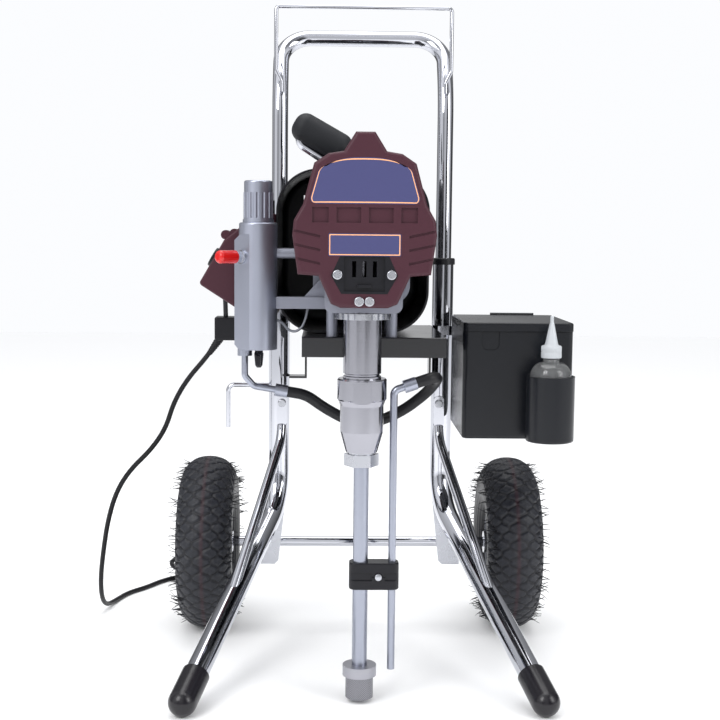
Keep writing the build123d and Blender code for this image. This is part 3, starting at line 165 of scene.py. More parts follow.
def makeHandlingGroup():
    # smudges from handling: a soft patchy mask, spread around its middle by Amount
    group, start, end = newGroup(
        "handlingMarks", [("Scale", 14.0), ("Amount", 0.15)], [("Mask", "NodeSocketFloat")]
    )
    patches = noiseNode(group, objectPosition(group), start.outputs["Scale"], 6.0)
    centred = mathNode(group, "SUBTRACT", patches, 0.5)
    group.links.new(mathNode(group, "MULTIPLY", centred, start.outputs["Amount"]), end.inputs["Mask"])
    return group


def makeDustGroup():
    # dust on faces that look up: the normal's upward part to the fourth power, broken by noise
    group, start, end = newGroup("settledDust", [("Amount", 0.1)], [("Mask", "NodeSocketFloat")])
    geometry = group.nodes.new("ShaderNodeNewGeometry")
    split = group.nodes.new("ShaderNodeSeparateXYZ")
    group.links.new(geometry.outputs["Normal"], split.inputs[0])
    upward = mathNode(group, "POWER", mathNode(group, "MAXIMUM", split.outputs["Z"], 0.0), 4.0)
    patches = noiseNode(group, objectPosition(group), 60.0, 5.0)
    mask = mathNode(
        group, "MULTIPLY", mathNode(group, "MULTIPLY", upward, patches), start.outputs["Amount"],
        clamp=True
    )
    group.links.new(mask, end.inputs["Mask"])
    return group


def makeToolingGroup():
    # tool marks round a turned or drawn piece: noise squeezed along Z, so it runs in fine rings
    group, start, end = newGroup("toolingLines", [("Density", 2500.0)], [("Height", "NodeSocketFloat")])
    split = group.nodes.new("ShaderNodeSeparateXYZ")
    group.links.new(objectPosition(group), split.inputs[0])
    join = group.nodes.new("ShaderNodeCombineXYZ")
    group.links.new(mathNode(group, "MULTIPLY", split.outputs["X"], 4.0), join.inputs["X"])
    group.links.new(mathNode(group, "MULTIPLY", split.outputs["Y"], 4.0), join.inputs["Y"])
    group.links.new(
        mathNode(group, "MULTIPLY", split.outputs["Z"], start.outputs["Density"]), join.inputs["Z"]
    )
    group.links.new(noiseNode(group, join.outputs[0], 1.0, 3.0), end.inputs["Height"])
    return group


groups = {
    "grain": makeGrainGroup(),
    "handling": makeHandlingGroup(),
    "dust": makeDustGroup(),
    "tooling": makeToolingGroup(),
}
print("stage: shader groups made")


# ---- materials ----

finishes = {
    "chromePlate": dict(
        color=(0.6, 0.61, 0.66), metallic=1.0, roughness=0.06, marks=0.05, marksScale=18, dust=0.0,
        grain=500, bump=0.004
    ),
    "zincPlate": dict(
        color=(0.5, 0.51, 0.55), metallic=1.0, roughness=0.27, marks=0.2, marksScale=40, dust=0.03,
        grain=1400, bump=0.05
    ),
    "turnedSteel": dict(
        color=(0.38, 0.38, 0.42), metallic=1.0, roughness=0.15, marks=0.1, marksScale=30, dust=0.0,
        tooling=2600, bump=0.03
    ),
    "drawnTube": dict(
        color=(0.36, 0.38, 0.45), metallic=1.0, roughness=0.3, marks=0.12, marksScale=22, dust=0.0,
        tooling=500, bump=0.03
    ),
    "satinAluminium": dict(
        color=(0.4, 0.42, 0.5), metallic=0.9, roughness=0.36, marks=0.08, marksScale=20, dust=0.02,
        tooling=1800, bump=0.04
    ),
    "castAluminium": dict(
        color=(0.25, 0.26, 0.31), metallic=0.7, roughness=0.5, marks=0.14, marksScale=26, dust=0.05,
        grain=520, bump=0.22, edge=0.8
    ),
    "greyRimPaint": dict(
        color=(0.2, 0.21, 0.24), metallic=0.35, roughness=0.38, marks=0.12, marksScale=30, dust=0.06,
        grain=800, bump=0.08
    ),
    "glossBlackPaint": dict(
        color=(0.005, 0.005, 0.007), metallic=0.0, roughness=0.14, marks=0.1, marksScale=16, dust=0.01,
        grain=420, bump=0.03, specular=0.7, edge=1.2
    ),
    "blackPlastic": dict(
        color=(0.006, 0.006, 0.009), metallic=0.0, roughness=0.34, marks=0.1, marksScale=18, dust=0.01,
        grain=1500, bump=0.12, specular=0.3, edge=0.7
    ),
    "boxPlastic": dict(
        color=(0.005, 0.006, 0.009), metallic=0.0, roughness=0.26, marks=0.1, marksScale=12, dust=0.01,
        grain=1100, bump=0.08, specular=0.35, edge=1.4
    ),
    "gripRubber": dict(
        color=(0.01, 0.011, 0.014), metallic=0.0, roughness=0.55, marks=0.1, marksScale=20, dust=0.01,
        grain=1700, bump=0.2, specular=0.3
    ),
    "capRubber": dict(
        color=(0.005, 0.004, 0.007), metallic=0.0, roughness=0.24, marks=0.12, marksScale=24, dust=0.01,
        grain=900, bump=0.07, specular=0.5
    ),
    "hoseRubber": dict(
        color=(0.006, 0.006, 0.008), metallic=0.0, roughness=0.4, marks=0.12, marksScale=24, dust=0.01,
        grain=1200, bump=0.12, specular=0.35
    ),
    "maroonPlastic": dict(
        color=(0.052, 0.0125, 0.022), metallic=0.0, roughness=0.45, marks=0.1, marksScale=14, dust=0.01,
        grain=1300, bump=0.16, specular=0.3, edge=1.0
    ),
    "redCapPlastic": dict(
        color=(0.6, 0.008, 0.008), metallic=0.0, roughness=0.22, marks=0.08, marksScale=40, dust=0.0,
        grain=700, bump=0.04, coat=0.3
    ),
    "cordRubber": dict(
        color=(0.005, 0.005, 0.007), metallic=0.0, roughness=0.42, marks=0.1, marksScale=30, dust=0.01,
        grain=1800, bump=0.1, specular=0.3
    ),
    "capPolythene": dict(
        color=(0.66, 0.69, 0.72), metallic=0.0, roughness=0.4, marks=0.05, marksScale=50, dust=0.0,
        grain=900, bump=0.04, transmission=0.35
    ),
    "bottleClear": dict(
        color=(0.86, 0.9, 0.93), metallic=0.0, roughness=0.08, marks=0.05, marksScale=40, dust=0.0,
        grain=500, bump=0.01, transmission=0.9
    ),
}


def addGroup(tree, kind, **values):
    node = tree.nodes.new("ShaderNodeGroup")
    node.node_tree = groups[kind]
    for label, value in values.items():
        node.inputs[label].default_value = value
    return node.outputs[0]


def mixColor(tree, factor, first, second):
    # a colour mix whose colours are sockets or plain colours
    node = tree.nodes.new("ShaderNodeMix")
    node.data_type = "RGBA"
    tree.links.new(factor, node.inputs[0])
    for index, value in ((6, first), (7, second)):
        if isinstance(value, tuple):
            node.inputs[index].default_value = (*value, 1.0)
        else:
            tree.links.new(value, node.inputs[index])
    return node.outputs[2]


def makeMaterial(name, s):
    # base colour darkened and lightened by handling marks and dusted on top; grain or tooling gives the
    # bump
    material = bpy.data.materials.new(name)
    material.use_nodes = True
    tree = material.node_tree
    shader = tree.nodes["Principled BSDF"]
    color = s["color"]
    marks = addGroup(tree, "handling", Scale=float(s["marksScale"]), Amount=s["marks"])
    shade = mathNode(tree, "ADD", mathNode(tree, "MULTIPLY", marks, 2.0), 0.5, clamp=True)
    darker = tuple(c * 0.82 for c in color)
    lighter = tuple(min(1.0, c * 1.16 + 0.001) for c in color)
    base = mixColor(tree, shade, darker, lighter)
    if s["dust"]:
        base = mixColor(tree, addGroup(tree, "dust", Amount=s["dust"] * 2), base, (0.42, 0.4, 0.37))
    tree.links.new(base, shader.inputs["Base Color"])
    tree.links.new(mathNode(tree, "ADD", marks, s["roughness"], clamp=True), shader.inputs["Roughness"])
    shader.inputs["Metallic"].default_value = s["metallic"]
    shader.inputs["Coat Weight"].default_value = s.get("coat", 0.0)
    shader.inputs["Transmission Weight"].default_value = s.get("transmission", 0.0)
    shader.inputs["Specular IOR Level"].default_value = s.get("specular", 0.5)
    bump = tree.nodes.new("ShaderNodeBump")
    bump.inputs["Strength"].default_value = s["bump"]
    bump.inputs["Distance"].default_value = mm
    height = addGroup(
        tree, "tooling", Density=float(s["tooling"])
    ) if "tooling" in s else addGroup(tree, "grain", Scale=float(s["grain"]))
    tree.links.new(height, bump.inputs["Height"])
    if "edge" in s:
        softened = tree.nodes.new("ShaderNodeBevel")
        softened.samples = 4
        softened.inputs["Radius"].default_value = s["edge"] * mm
        tree.links.new(softened.outputs["Normal"], bump.inputs["Normal"])
    tree.links.new(bump.outputs["Normal"], shader.inputs["Normal"])
    return material


materials = {name: makeMaterial(name, s) for name, s in finishes.items()}


def makeTreadMaterial():
    # tyre rubber: block tops painted paler as a highlight against the darker grooves, and a faint red
    # moulding line round the middle
    material = makeMaterial(
        "treadRubber",
        dict(
            color=(0.007, 0.0075, 0.011), metallic=0.0, roughness=0.42, marks=0.12, marksScale=24,
            dust=0.01, grain=1500, bump=0.2, specular=0.4
        )
    )
    tree = material.node_tree
    shader = tree.nodes["Principled BSDF"]
    old = shader.inputs["Base Color"].links[0].from_socket
    topHighlight = tree.nodes.new("ShaderNodeAttribute")
    topHighlight.attribute_name = "blockTop"
    line = tree.nodes.new("ShaderNodeAttribute")
    line.attribute_name = "centreLine"
    # painted highlight: the block tops are mixed towards a paler blue-black, so the grooves read darker
    tops = mixColor(tree, mathNode(tree, "MULTIPLY", topHighlight.outputs["Fac"], 0.6), old, (0.018, 0.02, 0.028))
    red = mixColor(tree, mathNode(tree, "MULTIPLY", line.outputs["Fac"], 0.45), tops, (0.05, 0.008, 0.014))
    tree.links.new(red, shader.inputs["Base Color"])
    return material


def makeMeshMaterial():
    # woven wire: shade from crossed waves round and up the strainer, mixed into the colour on the basket
    material = makeMaterial(
        "strainerWire",
        dict(
            color=(0.4, 0.4, 0.44), metallic=0.9, roughness=0.36, marks=0.2, marksScale=60, dust=0.0,
            grain=900, bump=0.3
        )
    )
    tree = material.node_tree
    shader = tree.nodes["Principled BSDF"]
    centre = centreOf("strainer")
    split = tree.nodes.new("ShaderNodeSeparateXYZ")
    tree.links.new(objectPosition(tree), split.inputs[0])
    dx = mathNode(tree, "SUBTRACT", split.outputs["X"], float(centre[0]))
    dy = mathNode(tree, "SUBTRACT", split.outputs["Y"], float(centre[1]))
    around = mathNode(tree, "SINE", mathNode(tree, "MULTIPLY", mathNode(tree, "ARCTAN2", dy, dx), 44.0))
    upward = mathNode(tree, "SINE", mathNode(tree, "MULTIPLY", split.outputs["Z"], 2300.0))
    weave = mathNode(tree, "MULTIPLY", around, upward)
    inBasket = mathNode(tree, "LESS_THAN", split.outputs["Z"], 0.036)
    shade = mathNode(
        tree, "MULTIPLY", mathNode(tree, "ADD", mathNode(tree, "MULTIPLY", weave, 0.5), 0.5), inBasket
    )
    base = shader.inputs["Base Color"].links[0].from_socket
    tree.links.new(mixColor(tree, shade, base, (0.08, 0.08, 0.085)), shader.inputs["Base Color"])
    return material


def makeLabelMaterial():
    # printed sticker: a plain blue field with a cream-to-orange outline at a set distance inside the edge
    material = makeMaterial(
        "labelPrint",
        dict(
            color=(0.052, 0.054, 0.15), metallic=0.0, roughness=0.3, marks=0.05, marksScale=20,
            dust=0.0, grain=500, bump=0.02, specular=0.4
        )
    )
    tree = material.node_tree
    shader = tree.nodes["Principled BSDF"]
    blue = shader.inputs["Base Color"].links[0].from_socket
    edge = tree.nodes.new("ShaderNodeAttribute")
    edge.attribute_name = "edgeDistance"
    inner = mathNode(tree, "LESS_THAN", edge.outputs["Fac"], 0.0022)
    outer = mathNode(tree, "GREATER_THAN", edge.outputs["Fac"], 0.0010)
    line = mathNode(tree, "MULTIPLY", inner, outer)
    tree.links.new(mixColor(tree, line, blue, (0.86, 0.42, 0.2)), shader.inputs["Base Color"])
    return material


treadRubber = makeTreadMaterial()
strainerWire = makeMeshMaterial()
labelPrint = makeLabelMaterial()

nodeFinishes = {
    "chromePlate": "frame_leg_left frame_leg_right handle_tube wire_rack axle leg_braces frame_hooks "
    "carry_handle",
    "zincPlate": "axle_brackets frame_hardware cover_screws jam_nut outlet_fitting suction_nut",
    "turnedSteel": "pump_cylinder intake_valve piston_rod rod_yoke crank_gear reduction_gear motor_rotor "
    "intake_ball filter_element",
    "drawnTube": "suction_tube drain_tube drain_fittings",
    "satinAluminium": "filter_housing filter_cap",
    "castAluminium": "drive_housing motor_can",
    "greyRimPaint": "rim_left rim_right sensor_cable",
    "glossBlackPaint": "platform_tray",
    "blackPlastic": "sleeve_collars tube_clip cord_gland prime_lever pressure_knob power_switch rod_door "
    "motor_cowl cooling_fan hub_bushes plug",
    "boxPlastic": "toolbox toolbox_lid",
    "gripRubber": "carry_grip",
    "capRubber": "foot_caps",
    "hoseRubber": "drain_hose",
    "maroonPlastic": "front_cover control_box",
    "redCapPlastic": "outlet_cap",
}


def dressNode(name, material):
    node = nodes[name]
    node.data.materials.clear()
    node.data.materials.append(material)


for finish, names in nodeFinishes.items():
    for name in names.split():
        dressNode(name, materials[finish])
dressNode("strainer", strainerWire)
print("stage: CAD nodes dressed")


# ---- camera, light, floor ----

view = dict(lens=64.25, place=(-0.0576, -1.873, 0.626), pitch=-5.67, yaw=1.49, roll=0.56)


def makeCamera():
    camera = bpy.data.objects.new("camera", bpy.data.cameras.new("camera"))
    camera.data.lens = view["lens"]
    camera.data.sensor_width = 36.0
    camera.location = view["place"]
    yaw, pitch, roll = (math.radians(view[k]) for k in ("yaw", "pitch", "roll"))
    c, s = math.cos(roll), math.sin(roll)
    turnRoll = np.array([[c, -s, 0], [s, c, 0], [0, 0, 1]])
    tilt = math.pi / 2 + pitch
    c, s = math.cos(tilt), math.sin(tilt)
    turnTilt = np.array([[1, 0, 0], [0, c, -s], [0, s, c]])
    turnYaw = np.array([[math.cos(-yaw), -math.sin(-yaw), 0], [math.sin(-yaw), math.cos(-yaw), 0], [0, 0, 1]])
    camera.rotation_euler = Matrix((turnYaw @ turnTilt @ turnRoll).tolist()).to_euler()
    bpy.context.scene.collection.objects.link(camera)
    bpy.context.scene.camera = camera


def addLight(name, place, target, size, power):
    light = bpy.data.objects.new(name, bpy.data.lights.new(name, "AREA"))
    light.data.shape = "RECTANGLE"
    light.data.size, light.data.size_y = size
    light.data.energy = power
    light.location = place
    light.rotation_euler = (Vector(target) - Vector(place)).to_track_quat("-Z", "Y").to_euler()
    bpy.context.scene.collection.objects.link(light)


# tall panels round the studio, from behind the machine by its left, front and right: (turn, brightness)
studioPanels = [
    (0.0, 0.8),
    (0.04, 0.12),
    (0.12, 0.1),
    (0.15, 0.55),
    (0.21, 0.5),
    (0.235, 0.06),
    (0.27, 0.95),
    (0.38, 0.9),
    (0.41, 0.2),
    (0.45, 0.6),
    (0.52, 0.8),
    (0.55, 0.05),
    (0.62, 0.04),
    (0.66, 0.6),
    (0.73, 0.9),
    (0.76, 0.06),
    (0.86, 0.05),
    (0.9, 0.2),
    (0.96, 0.12),
    (1.0, 0.8),
]


def makeStudio():
    # pale floor, three soft boxes, and a surround of tall light and dark panels that the chrome reflects
    scene = bpy.context.scene
    scene.view_settings.view_transform = "Standard"
    mesh = bpy.data.meshes.new("floor")
    mesh.from_pydata([(-6, -6, 0), (6, -6, 0), (6, 6, 0), (-6, 6, 0)], [], [(0, 1, 2, 3)])
    floor = bpy.data.objects.new("floor", mesh)
    paper = bpy.data.materials.new("studioPaper")
    paper.use_nodes = True
    paper.node_tree.nodes["Principled BSDF"].inputs["Base Color"].default_value = (0.985, 0.985, 0.985, 1)
    paper.node_tree.nodes["Principled BSDF"].inputs["Roughness"].default_value = 0.9
    mesh.materials.append(paper)
    scene.collection.objects.link(floor)
    floor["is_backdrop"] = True
    addLight("keySoftBox", (-1.6, -1.9, 2.1), (0, 0, 0.5), (1.2, 1.6), 34)
    addLight("fillSoftBox", (1.9, -1.5, 1.4), (0, 0, 0.5), (1.0, 1.6), 20)
    addLight("topSoftBox", (0, 0.2, 2.6), (0, 0, 0.4), (1.8, 1.8), 26)
    world = bpy.data.worlds.new("studio")
    scene.world = world
    world.use_nodes = True
    tree = world.node_tree
    background = tree.nodes["Background"]
    rays = tree.nodes.new("ShaderNodeLightPath")
    split = tree.nodes.new("ShaderNodeSeparateXYZ")
    tree.links.new(tree.nodes.new("ShaderNodeTexCoord").outputs["Generated"], split.inputs[0])
    bearing = mathNode(
        tree, "ARCTAN2", split.outputs["X"], mathNode(tree, "MULTIPLY", split.outputs["Y"], -1.0)
    )
    around = mathNode(tree, "ADD", mathNode(tree, "DIVIDE", bearing, 2 * math.pi), 0.5)
    ramp = tree.nodes.new("ShaderNodeValToRGB")
    tree.links.new(around, ramp.inputs[0])
    stops = ramp.color_ramp.elements
    stops[0].position, stops[1].position = studioPanels[0][0], studioPanels[-1][0]
    for place, _ in studioPanels[1:-1]:
        stops.new(place)
    for stop, (_, value) in zip(stops, studioPanels):
        stop.color = (value, value, value, 1)
    brightness = mathNode(
        tree, "ADD", mathNode(tree, "MULTIPLY", ramp.outputs[0], 0.95),
        mathNode(tree, "MULTIPLY", mathNode(tree, "MAXIMUM", split.outputs["Z"], 0.0), 0.35)
    )
    shown = tree.nodes.new("ShaderNodeMix")
    tree.links.new(rays.outputs["Is Glossy Ray"], shown.inputs[0])
    shown.inputs[2].default_value = 1.0
    tree.links.new(brightness, shown.inputs[3])
    tree.links.new(shown.outputs[0], background.inputs["Strength"])
    background.inputs["Color"].default_value = (0.97, 0.98, 1.0, 1)


makeCamera()
makeStudio()
print("stage: camera and studio made")


# ---- power cord ----

cordShape = dict(
    diameter=7.6 * mm, coilCentre=(-0.276, 0.403), coilRadius=0.043, coilMiddle=0.0115,
    stackRadius=7.6 * mm, turnPoints=14, turned=1352.0, startAngle=172.0
)
cordRoute = [
    (-0.225, 0.112, 0.458),
    (-0.243, 0.112, 0.432),
    (-0.273, 0.112, 0.398),
    (-0.295, 0.113, 0.360),
    (-0.307, 0.114, 0.320),
    (-0.331, 0.116, 0.285),
    (-0.365, 0.120, 0.252),
    (-0.387, 0.124, 0.216),
    (-0.401, 0.129, 0.170),
    (-0.410, 0.137, 0.119),
    (-0.417, 0.150, 0.072),
    (-0.420, 0.174, 0.033),
    (-0.419, 0.210, 0.009),
    (-0.411, 0.256, 0.0038),
    (-0.397, 0.302, 0.0039),
    (-0.369, 0.338, 0.0038),
    (-0.349, 0.379, 0.0039),
]
cordEnd = [
    (-0.046, -0.024, 0.025), (-0.060, -0.006, 0.030), (-0.054, 0.010, 0.035), (-0.044, 0.013, 0.037),
    (-0.032, 0.013, 0.037)
]


def coilPoints():
    # turns about the coil's centre, run clockwise; each turn moves a sixth of the way round the stack's
    # section
    s = cordShape
    turned = np.radians(s["turned"])
    t = np.linspace(0, turned, int(turned / (2 * np.pi) * s["turnPoints"]))
    across = np.radians(-90) + np.radians(60) * t / (2 * np.pi)
    radius = s["coilRadius"] + s["stackRadius"] * np.cos(across)
    height = s["coilMiddle"] + s["stackRadius"] * np.sin(across)
    angle = np.radians(s["startAngle"]) - t
    x = s["coilCentre"][0] + radius * np.cos(angle)
    y = s["coilCentre"][1] + radius * np.sin(angle)
    return np.stack([x, y, height], axis=-1)


def makeCord():
    s = cordShape
    end = [(s["coilCentre"][0] + x, s["coilCentre"][1] + y, z) for x, y, z in cordEnd]
    points = [*cordRoute, *coilPoints().tolist(), *end]
    curve = bpy.data.curves.new("power_lead", "CURVE")
    curve.dimensions = "3D"
    curve.bevel_depth = s["diameter"] / 2
    curve.bevel_resolution = 5
    curve.resolution_u = 5
    curve.use_fill_caps = True
    spline = curve.splines.new("NURBS")
    spline.points.add(len(points) - 1)
    spline.points.foreach_set("co", np.c_[np.array(points), np.ones(len(points))].ravel())
    spline.order_u = 3
    spline.use_endpoint_u = True
    curve.materials.append(materials["cordRubber"])
    lead = bpy.data.objects.new("power_lead", curve)
    bpy.context.scene.collection.objects.link(lead)
    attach(lead, "cart")
    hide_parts("power_cord", "cord_coil")
    return lead


reliefShape = dict(reach=(-0.004, 0.026), rows=33, radii=(7.0, 4.3), ringCut=0.7, endRadius=3.9, around=24)


def makeStrainRelief():
    # tapered sleeve along the cord's first run: its radius narrows evenly, with a ring cut at every fourth
    # step
    start, after = np.array(cordRoute[0]), np.array(cordRoute[1])
    heading = (after - start) / np.linalg.norm(after - start)
    s = reliefShape
    rows = s["rows"]
    along = np.linspace(*s["reach"], rows)
    radius = np.linspace(*s["radii"], rows) * mm - s["ringCut"] * mm * (np.arange(rows) % 4 == 3)
    radius[[0, -1]] = s["endRadius"] * mm
    side = np.cross(heading, (0, 1, 0))
    side = side / np.linalg.norm(side)
    other = np.cross(heading, side)
    angle = np.linspace(0, 2 * np.pi, s["around"], endpoint=False)
    ring = np.cos(angle)[None, :, None] * side + np.sin(angle)[None, :, None] * other
    points = start + along[:, None, None] * heading + radius[:, None, None] * ring
    return pieceFromArrays(
        "strain_relief", points, gridFaces(
            rows, s["around"], closeColumns=True
        )[:, ::-1], materials["cordRubber"],
        "cart"
    )


lead = makeCord()
relief = makeStrainRelief()
print("stage: power cord laid")


# ---- tyres ----

tyreShape = dict(
    around=576, across=120, blocks=32, cell=26.0 * mm, grooveDepth=3.2 * mm, wrap=2.5, squareness=2.25,
    hairs=290, hairLength=(0.008, 0.016)
)
clearOfBox = 0.001
boxLow, boxHigh = (np.array(corner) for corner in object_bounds())


def tyreSection(v, radius, half):
    # superellipse round the tyre's air space: x = half sin p, r = middle + tall cos p, both raised to 2 /
    # squareness, p = wrap v
    s = tyreShape
    turn = s["wrap"] * v
    power = 2 / s["squareness"]
    middle = radius - half
    x = half * np.sign(np.sin(turn)) * np.abs(np.sin(turn)) ** power
    r = middle + half * np.sign(np.cos(turn)) * np.abs(np.cos(turn)) ** power
    return x, r, turn * half


def makeTyre(side):
    # the section above turned about the axle; the tread is sunk along two crossing sets of wavy slanted
    # lines
    s = tyreShape
    low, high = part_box(f"tyre_{side}")
    centre = np.array((low + high) / 2)
    radius, half = (high.z - low.z) / 2, (high.x - low.x) / 2
    v = np.linspace(-1, 1, s["across"])
    x, r, along = tyreSection(v, radius, half)
    angle = np.linspace(0, 2 * np.pi, s["around"], endpoint=False)
    a, b = np.meshgrid(angle * s["blocks"] / (2 * np.pi), along / s["cell"], indexing="ij")
    first = a + b + 0.07 * np.sin(2 * np.pi * (a - b))
    second = a - b + 0.07 * np.sin(2 * np.pi * (a + b))
    lines = np.minimum(np.abs(first % 1 - 0.5), np.abs(second % 1 - 0.5))
    block = np.clip((lines - 0.05) / 0.1, 0, 1)
    block = block * block * (3 - 2 * block)
    sipe = np.minimum(np.abs((first + 0.5) % 1 - 0.5), np.abs((second + 0.5) % 1 - 0.5))
    cut = np.clip(1 - sipe / 0.035, 0, 1)
    reach = np.abs(along) / half
    onTread = np.clip((1.42 - reach) / 0.14, 0, 1)[None, :]
    shoulder = np.clip((reach - 0.75) / 0.4, 0, 1)[None, :]
    sunk = s["grooveDepth"] * onTread * ((1 - block) * (0.75 + 0.5 * shoulder) + 0.2 * cut * block)
    normalX = np.sin(s["wrap"] * v)[None, :]
    normalR = np.cos(s["wrap"] * v)[None, :]
    rings = 0.4 * mm * np.sin(along / (1.1 * mm))[None, :] * (reach > 1.5)[None, :]
    xx = x[None, :] - normalX * (sunk + rings)
    rr = r[None, :] - normalR * (sunk + rings)
    points = np.stack(
        [centre[0] + xx, centre[1] + rr * np.cos(angle)[:, None], centre[2] + rr * np.sin(angle)[:, None]],
        axis=-1
    )
    points = np.clip(points, np.array(low), np.array(high))
    piece = pieceFromArrays(
        f"tread_{side}", points, gridFaces(s["around"], s["across"], closeRows=True)[:, ::-1],
        treadRubber, f"wheel_{side}"
    )
    # blockTop marks the block tops that get the painted highlight in treadRubber
    top = piece.data.attributes.new("blockTop", "FLOAT", "POINT")
    top.data.foreach_set("value", (block * (1 - cut) * onTread).ravel().astype(np.float32))
    middle = piece.data.attributes.new("centreLine", "FLOAT", "POINT")
    middle.data.foreach_set(
        "value",
        np.repeat(np.exp(-((along / (1.6 * mm)) ** 2))[None, :], s["around"], 0).ravel().astype(np.float32)
    )
    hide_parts(f"tyre_{side}")
    return centre, radius, half


def makeHairs(side, centre, radius, half):
    # moulding hairs: tapered three-sided strands of five rings that leave the shoulder along its normal,
    # then curl
    s = tyreShape
    count = s["hairs"]
    angle = rng.uniform(0, 2 * np.pi, count)
    outward = np.where(np.arange(count) % 2 == 0, 1.0, -1.0)
    turn = rng.choice([0.78, 1.0, 1.22, 1.42], count)
    x, r, _ = tyreSection(outward * turn / s["wrap"], radius, half)
    radial = np.stack([np.zeros(count), np.cos(angle), np.sin(angle)], axis=-1)
    tangent = np.stack([np.zeros(count), -np.sin(angle), np.cos(angle)], axis=-1)
    sideways = np.stack([outward, np.zeros(count), np.zeros(count)], axis=-1)
    base = centre + np.stack([x, r * np.cos(angle), r * np.sin(angle)], axis=-1)
    heading = sideways + radial * rng.uniform(-0.3, 0.5, count)[:, None]
    heading = heading + tangent * rng.uniform(-0.4, 0.4, count)[:, None]
    heading = heading / np.linalg.norm(heading, axis=1, keepdims=True)
    curl = radial * rng.uniform(-0.5, 0.35, count)[:, None] + tangent * rng.uniform(-0.4, 0.4, count)[:, None]
    t = np.linspace(0, 1, 5)
    length = rng.uniform(*s["hairLength"], count)
    bent = heading[:, None] * t[None, :, None] + curl[:, None] * (t**2)[None, :, None]
    spine = base[:, None] + length[:, None, None] * bent
    spine = spine - heading[:, None] * 2.5 * mm * (1 - t)[None, :, None]
    thick = np.linspace(0.95, 0.4, 5) * mm
    corner = np.radians([90, 210, 330])
    cosine, sine = (part[None, None, :, None] for part in (np.cos(corner), np.sin(corner)))
    ring = cosine * radial[:, None, None] + sine * tangent[:, None, None]
    points = spine[:, :, None] + thick[None, :, None, None] * ring
    points = np.clip(points, boxLow + (clearOfBox, clearOfBox, 0.0004), boxHigh - clearOfBox)
    one = gridFaces(5, 3, closeColumns=True)
    faces = (one[None] + (np.arange(count) * 15)[:, None, None]).reshape(-1, 4)
    pieceFromArrays(f"moulding_hairs_{side}", points, faces, treadRubber, f"wheel_{side}")


valveShape = dict(
    radius=(0.1, 5.2, 5.2, 3.9, 3.6, 3.6, 4.2, 4.2, 0.1),
    height=(0, 0, 2, 4, 16, 20, 20.5, 30, 31),
    around=20,
    seat=0.006,
    fromAxle=0.033,
)


def makeValveStem(side, centre, outward):
    # rubber stem and cap standing out of the rim, both in the stem's rubber finish though the cap is metal: a
    # turned outline laid along the axle
    s = valveShape
    radius, height = np.array(s["radius"]) * mm, np.array(s["height"]) * mm
    grid = turnedGrid(radius, height, s["around"])
    points = np.stack(
        [
            centre[0] + outward * (s["seat"] + grid[..., 2]), centre[1] + grid[..., 0],
            centre[2] + s["fromAxle"] + grid[..., 1]
        ],
        axis=-1
    )
    faces = gridFaces(len(radius), s["around"], closeColumns=True)
    pieceFromArrays(
        f"valve_stem_{side}", points, faces if outward > 0 else faces[:, ::-1], materials["capRubber"],
        f"wheel_{side}"
    )


for side, outward in (("left", -1), ("right", 1)):
    centre, radius, half = makeTyre(side)
    makeHairs(side, centre, radius, half)
    makeValveStem(side, centre, outward)
print("stage: tyres made")


# ---- labels ----

labelShape = dict(
    gap=0.35 * mm, upperBottom=0.6615, upperTop=0.708, arch=0.011, lowerBottom=0.5965, lowerTop=0.6245,
    lowerHalf=0.0455,
    upperHalves=(0.0705, 0.057), upperCorner=0.009, lowerCorner=0.0012
)


def makeLabel(name, halfBottom, halfTop, bottom, top, arch, corner):
    # sheet in front of the cover: x = w(v) u and z = bottom + v (top - bottom) + arch (1 - |u|^3) v; w(v)
    # is rounded off by quarter circles at both ends
    coverLow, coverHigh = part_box("front_cover")
    middle = (coverLow.x + coverHigh.x) / 2
    u, v = np.meshgrid(np.linspace(-1, 1, 97), np.linspace(0, 1, 49), indexing="ij")
    halfWidth = halfBottom + (halfTop - halfBottom) * v
    squeeze = np.minimum(v, 1 - v) * (top - bottom)
    rounded = np.clip(corner - squeeze, 0, corner)
    halfWidth = halfWidth - (corner - np.sqrt(corner**2 - rounded**2))
    x = middle + halfWidth * u
    z = bottom + v * (top - bottom) + arch * (1 - np.abs(u) ** 3) * v
    y = np.full_like(x, coverLow.y - labelShape["gap"])
    points = np.stack([x, y, z], axis=-1)
    piece = pieceFromArrays(name, points, gridFaces(97, 49), labelPrint, "cart")
    toSide = halfWidth * (1 - np.abs(u))
    toEnd = np.minimum(v * (top - bottom), (1 - v) * (top - bottom))
    edge = piece.data.attributes.new("edgeDistance", "FLOAT", "POINT")
    edge.data.foreach_set("value", np.minimum(toSide, toEnd).ravel().astype(np.float32))


def makeLabels():
    s = labelShape
    makeLabel("upper_label", *s["upperHalves"], s["upperBottom"], s["upperTop"], s["arch"], s["upperCorner"])
    makeLabel(
        "lower_label", s["lowerHalf"], s["lowerHalf"], s["lowerBottom"], s["lowerTop"], 0.0,
        s["lowerCorner"]
    )


def makeDoorSurround():
    # thin black plate round the door: straight lines from each outer corner to the matching corner of the
    # door's opening
    low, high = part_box("front_cover")
    middle = (low.x + high.x) / 2
    outer = np.array([(-30, 598), (30, 598), (42, 572), (29, 549), (-29, 549), (-42, 572)]) * mm
    side, top, bottom = 25.8, 595.8, 552.2
    right = [(side, top), (side, 572), (side, bottom)]
    left = [(-side, bottom), (-side, 572)]
    inner = np.array([(-side, top), *right, *left]) * mm
    flat = np.stack([outer, inner])
    points = np.stack(
        [middle + flat[..., 0], np.full(flat.shape[:2], low.y - 0.3 * mm), flat[..., 1]], axis=-1
    )
    pieceFromArrays(
        "door_surround", points, gridFaces(2, 6, closeColumns=True), materials["blackPlastic"], "cart",
        smooth=False
    )


makeLabels()
makeDoorSurround()
print("stage: labels made")


# ---- oil bottle ----

bottleShape = dict(
    bodyRadius=28.0, neckRadius=11.0, bottom=346.3, shoulder=433.0, neckTop=458.0
)


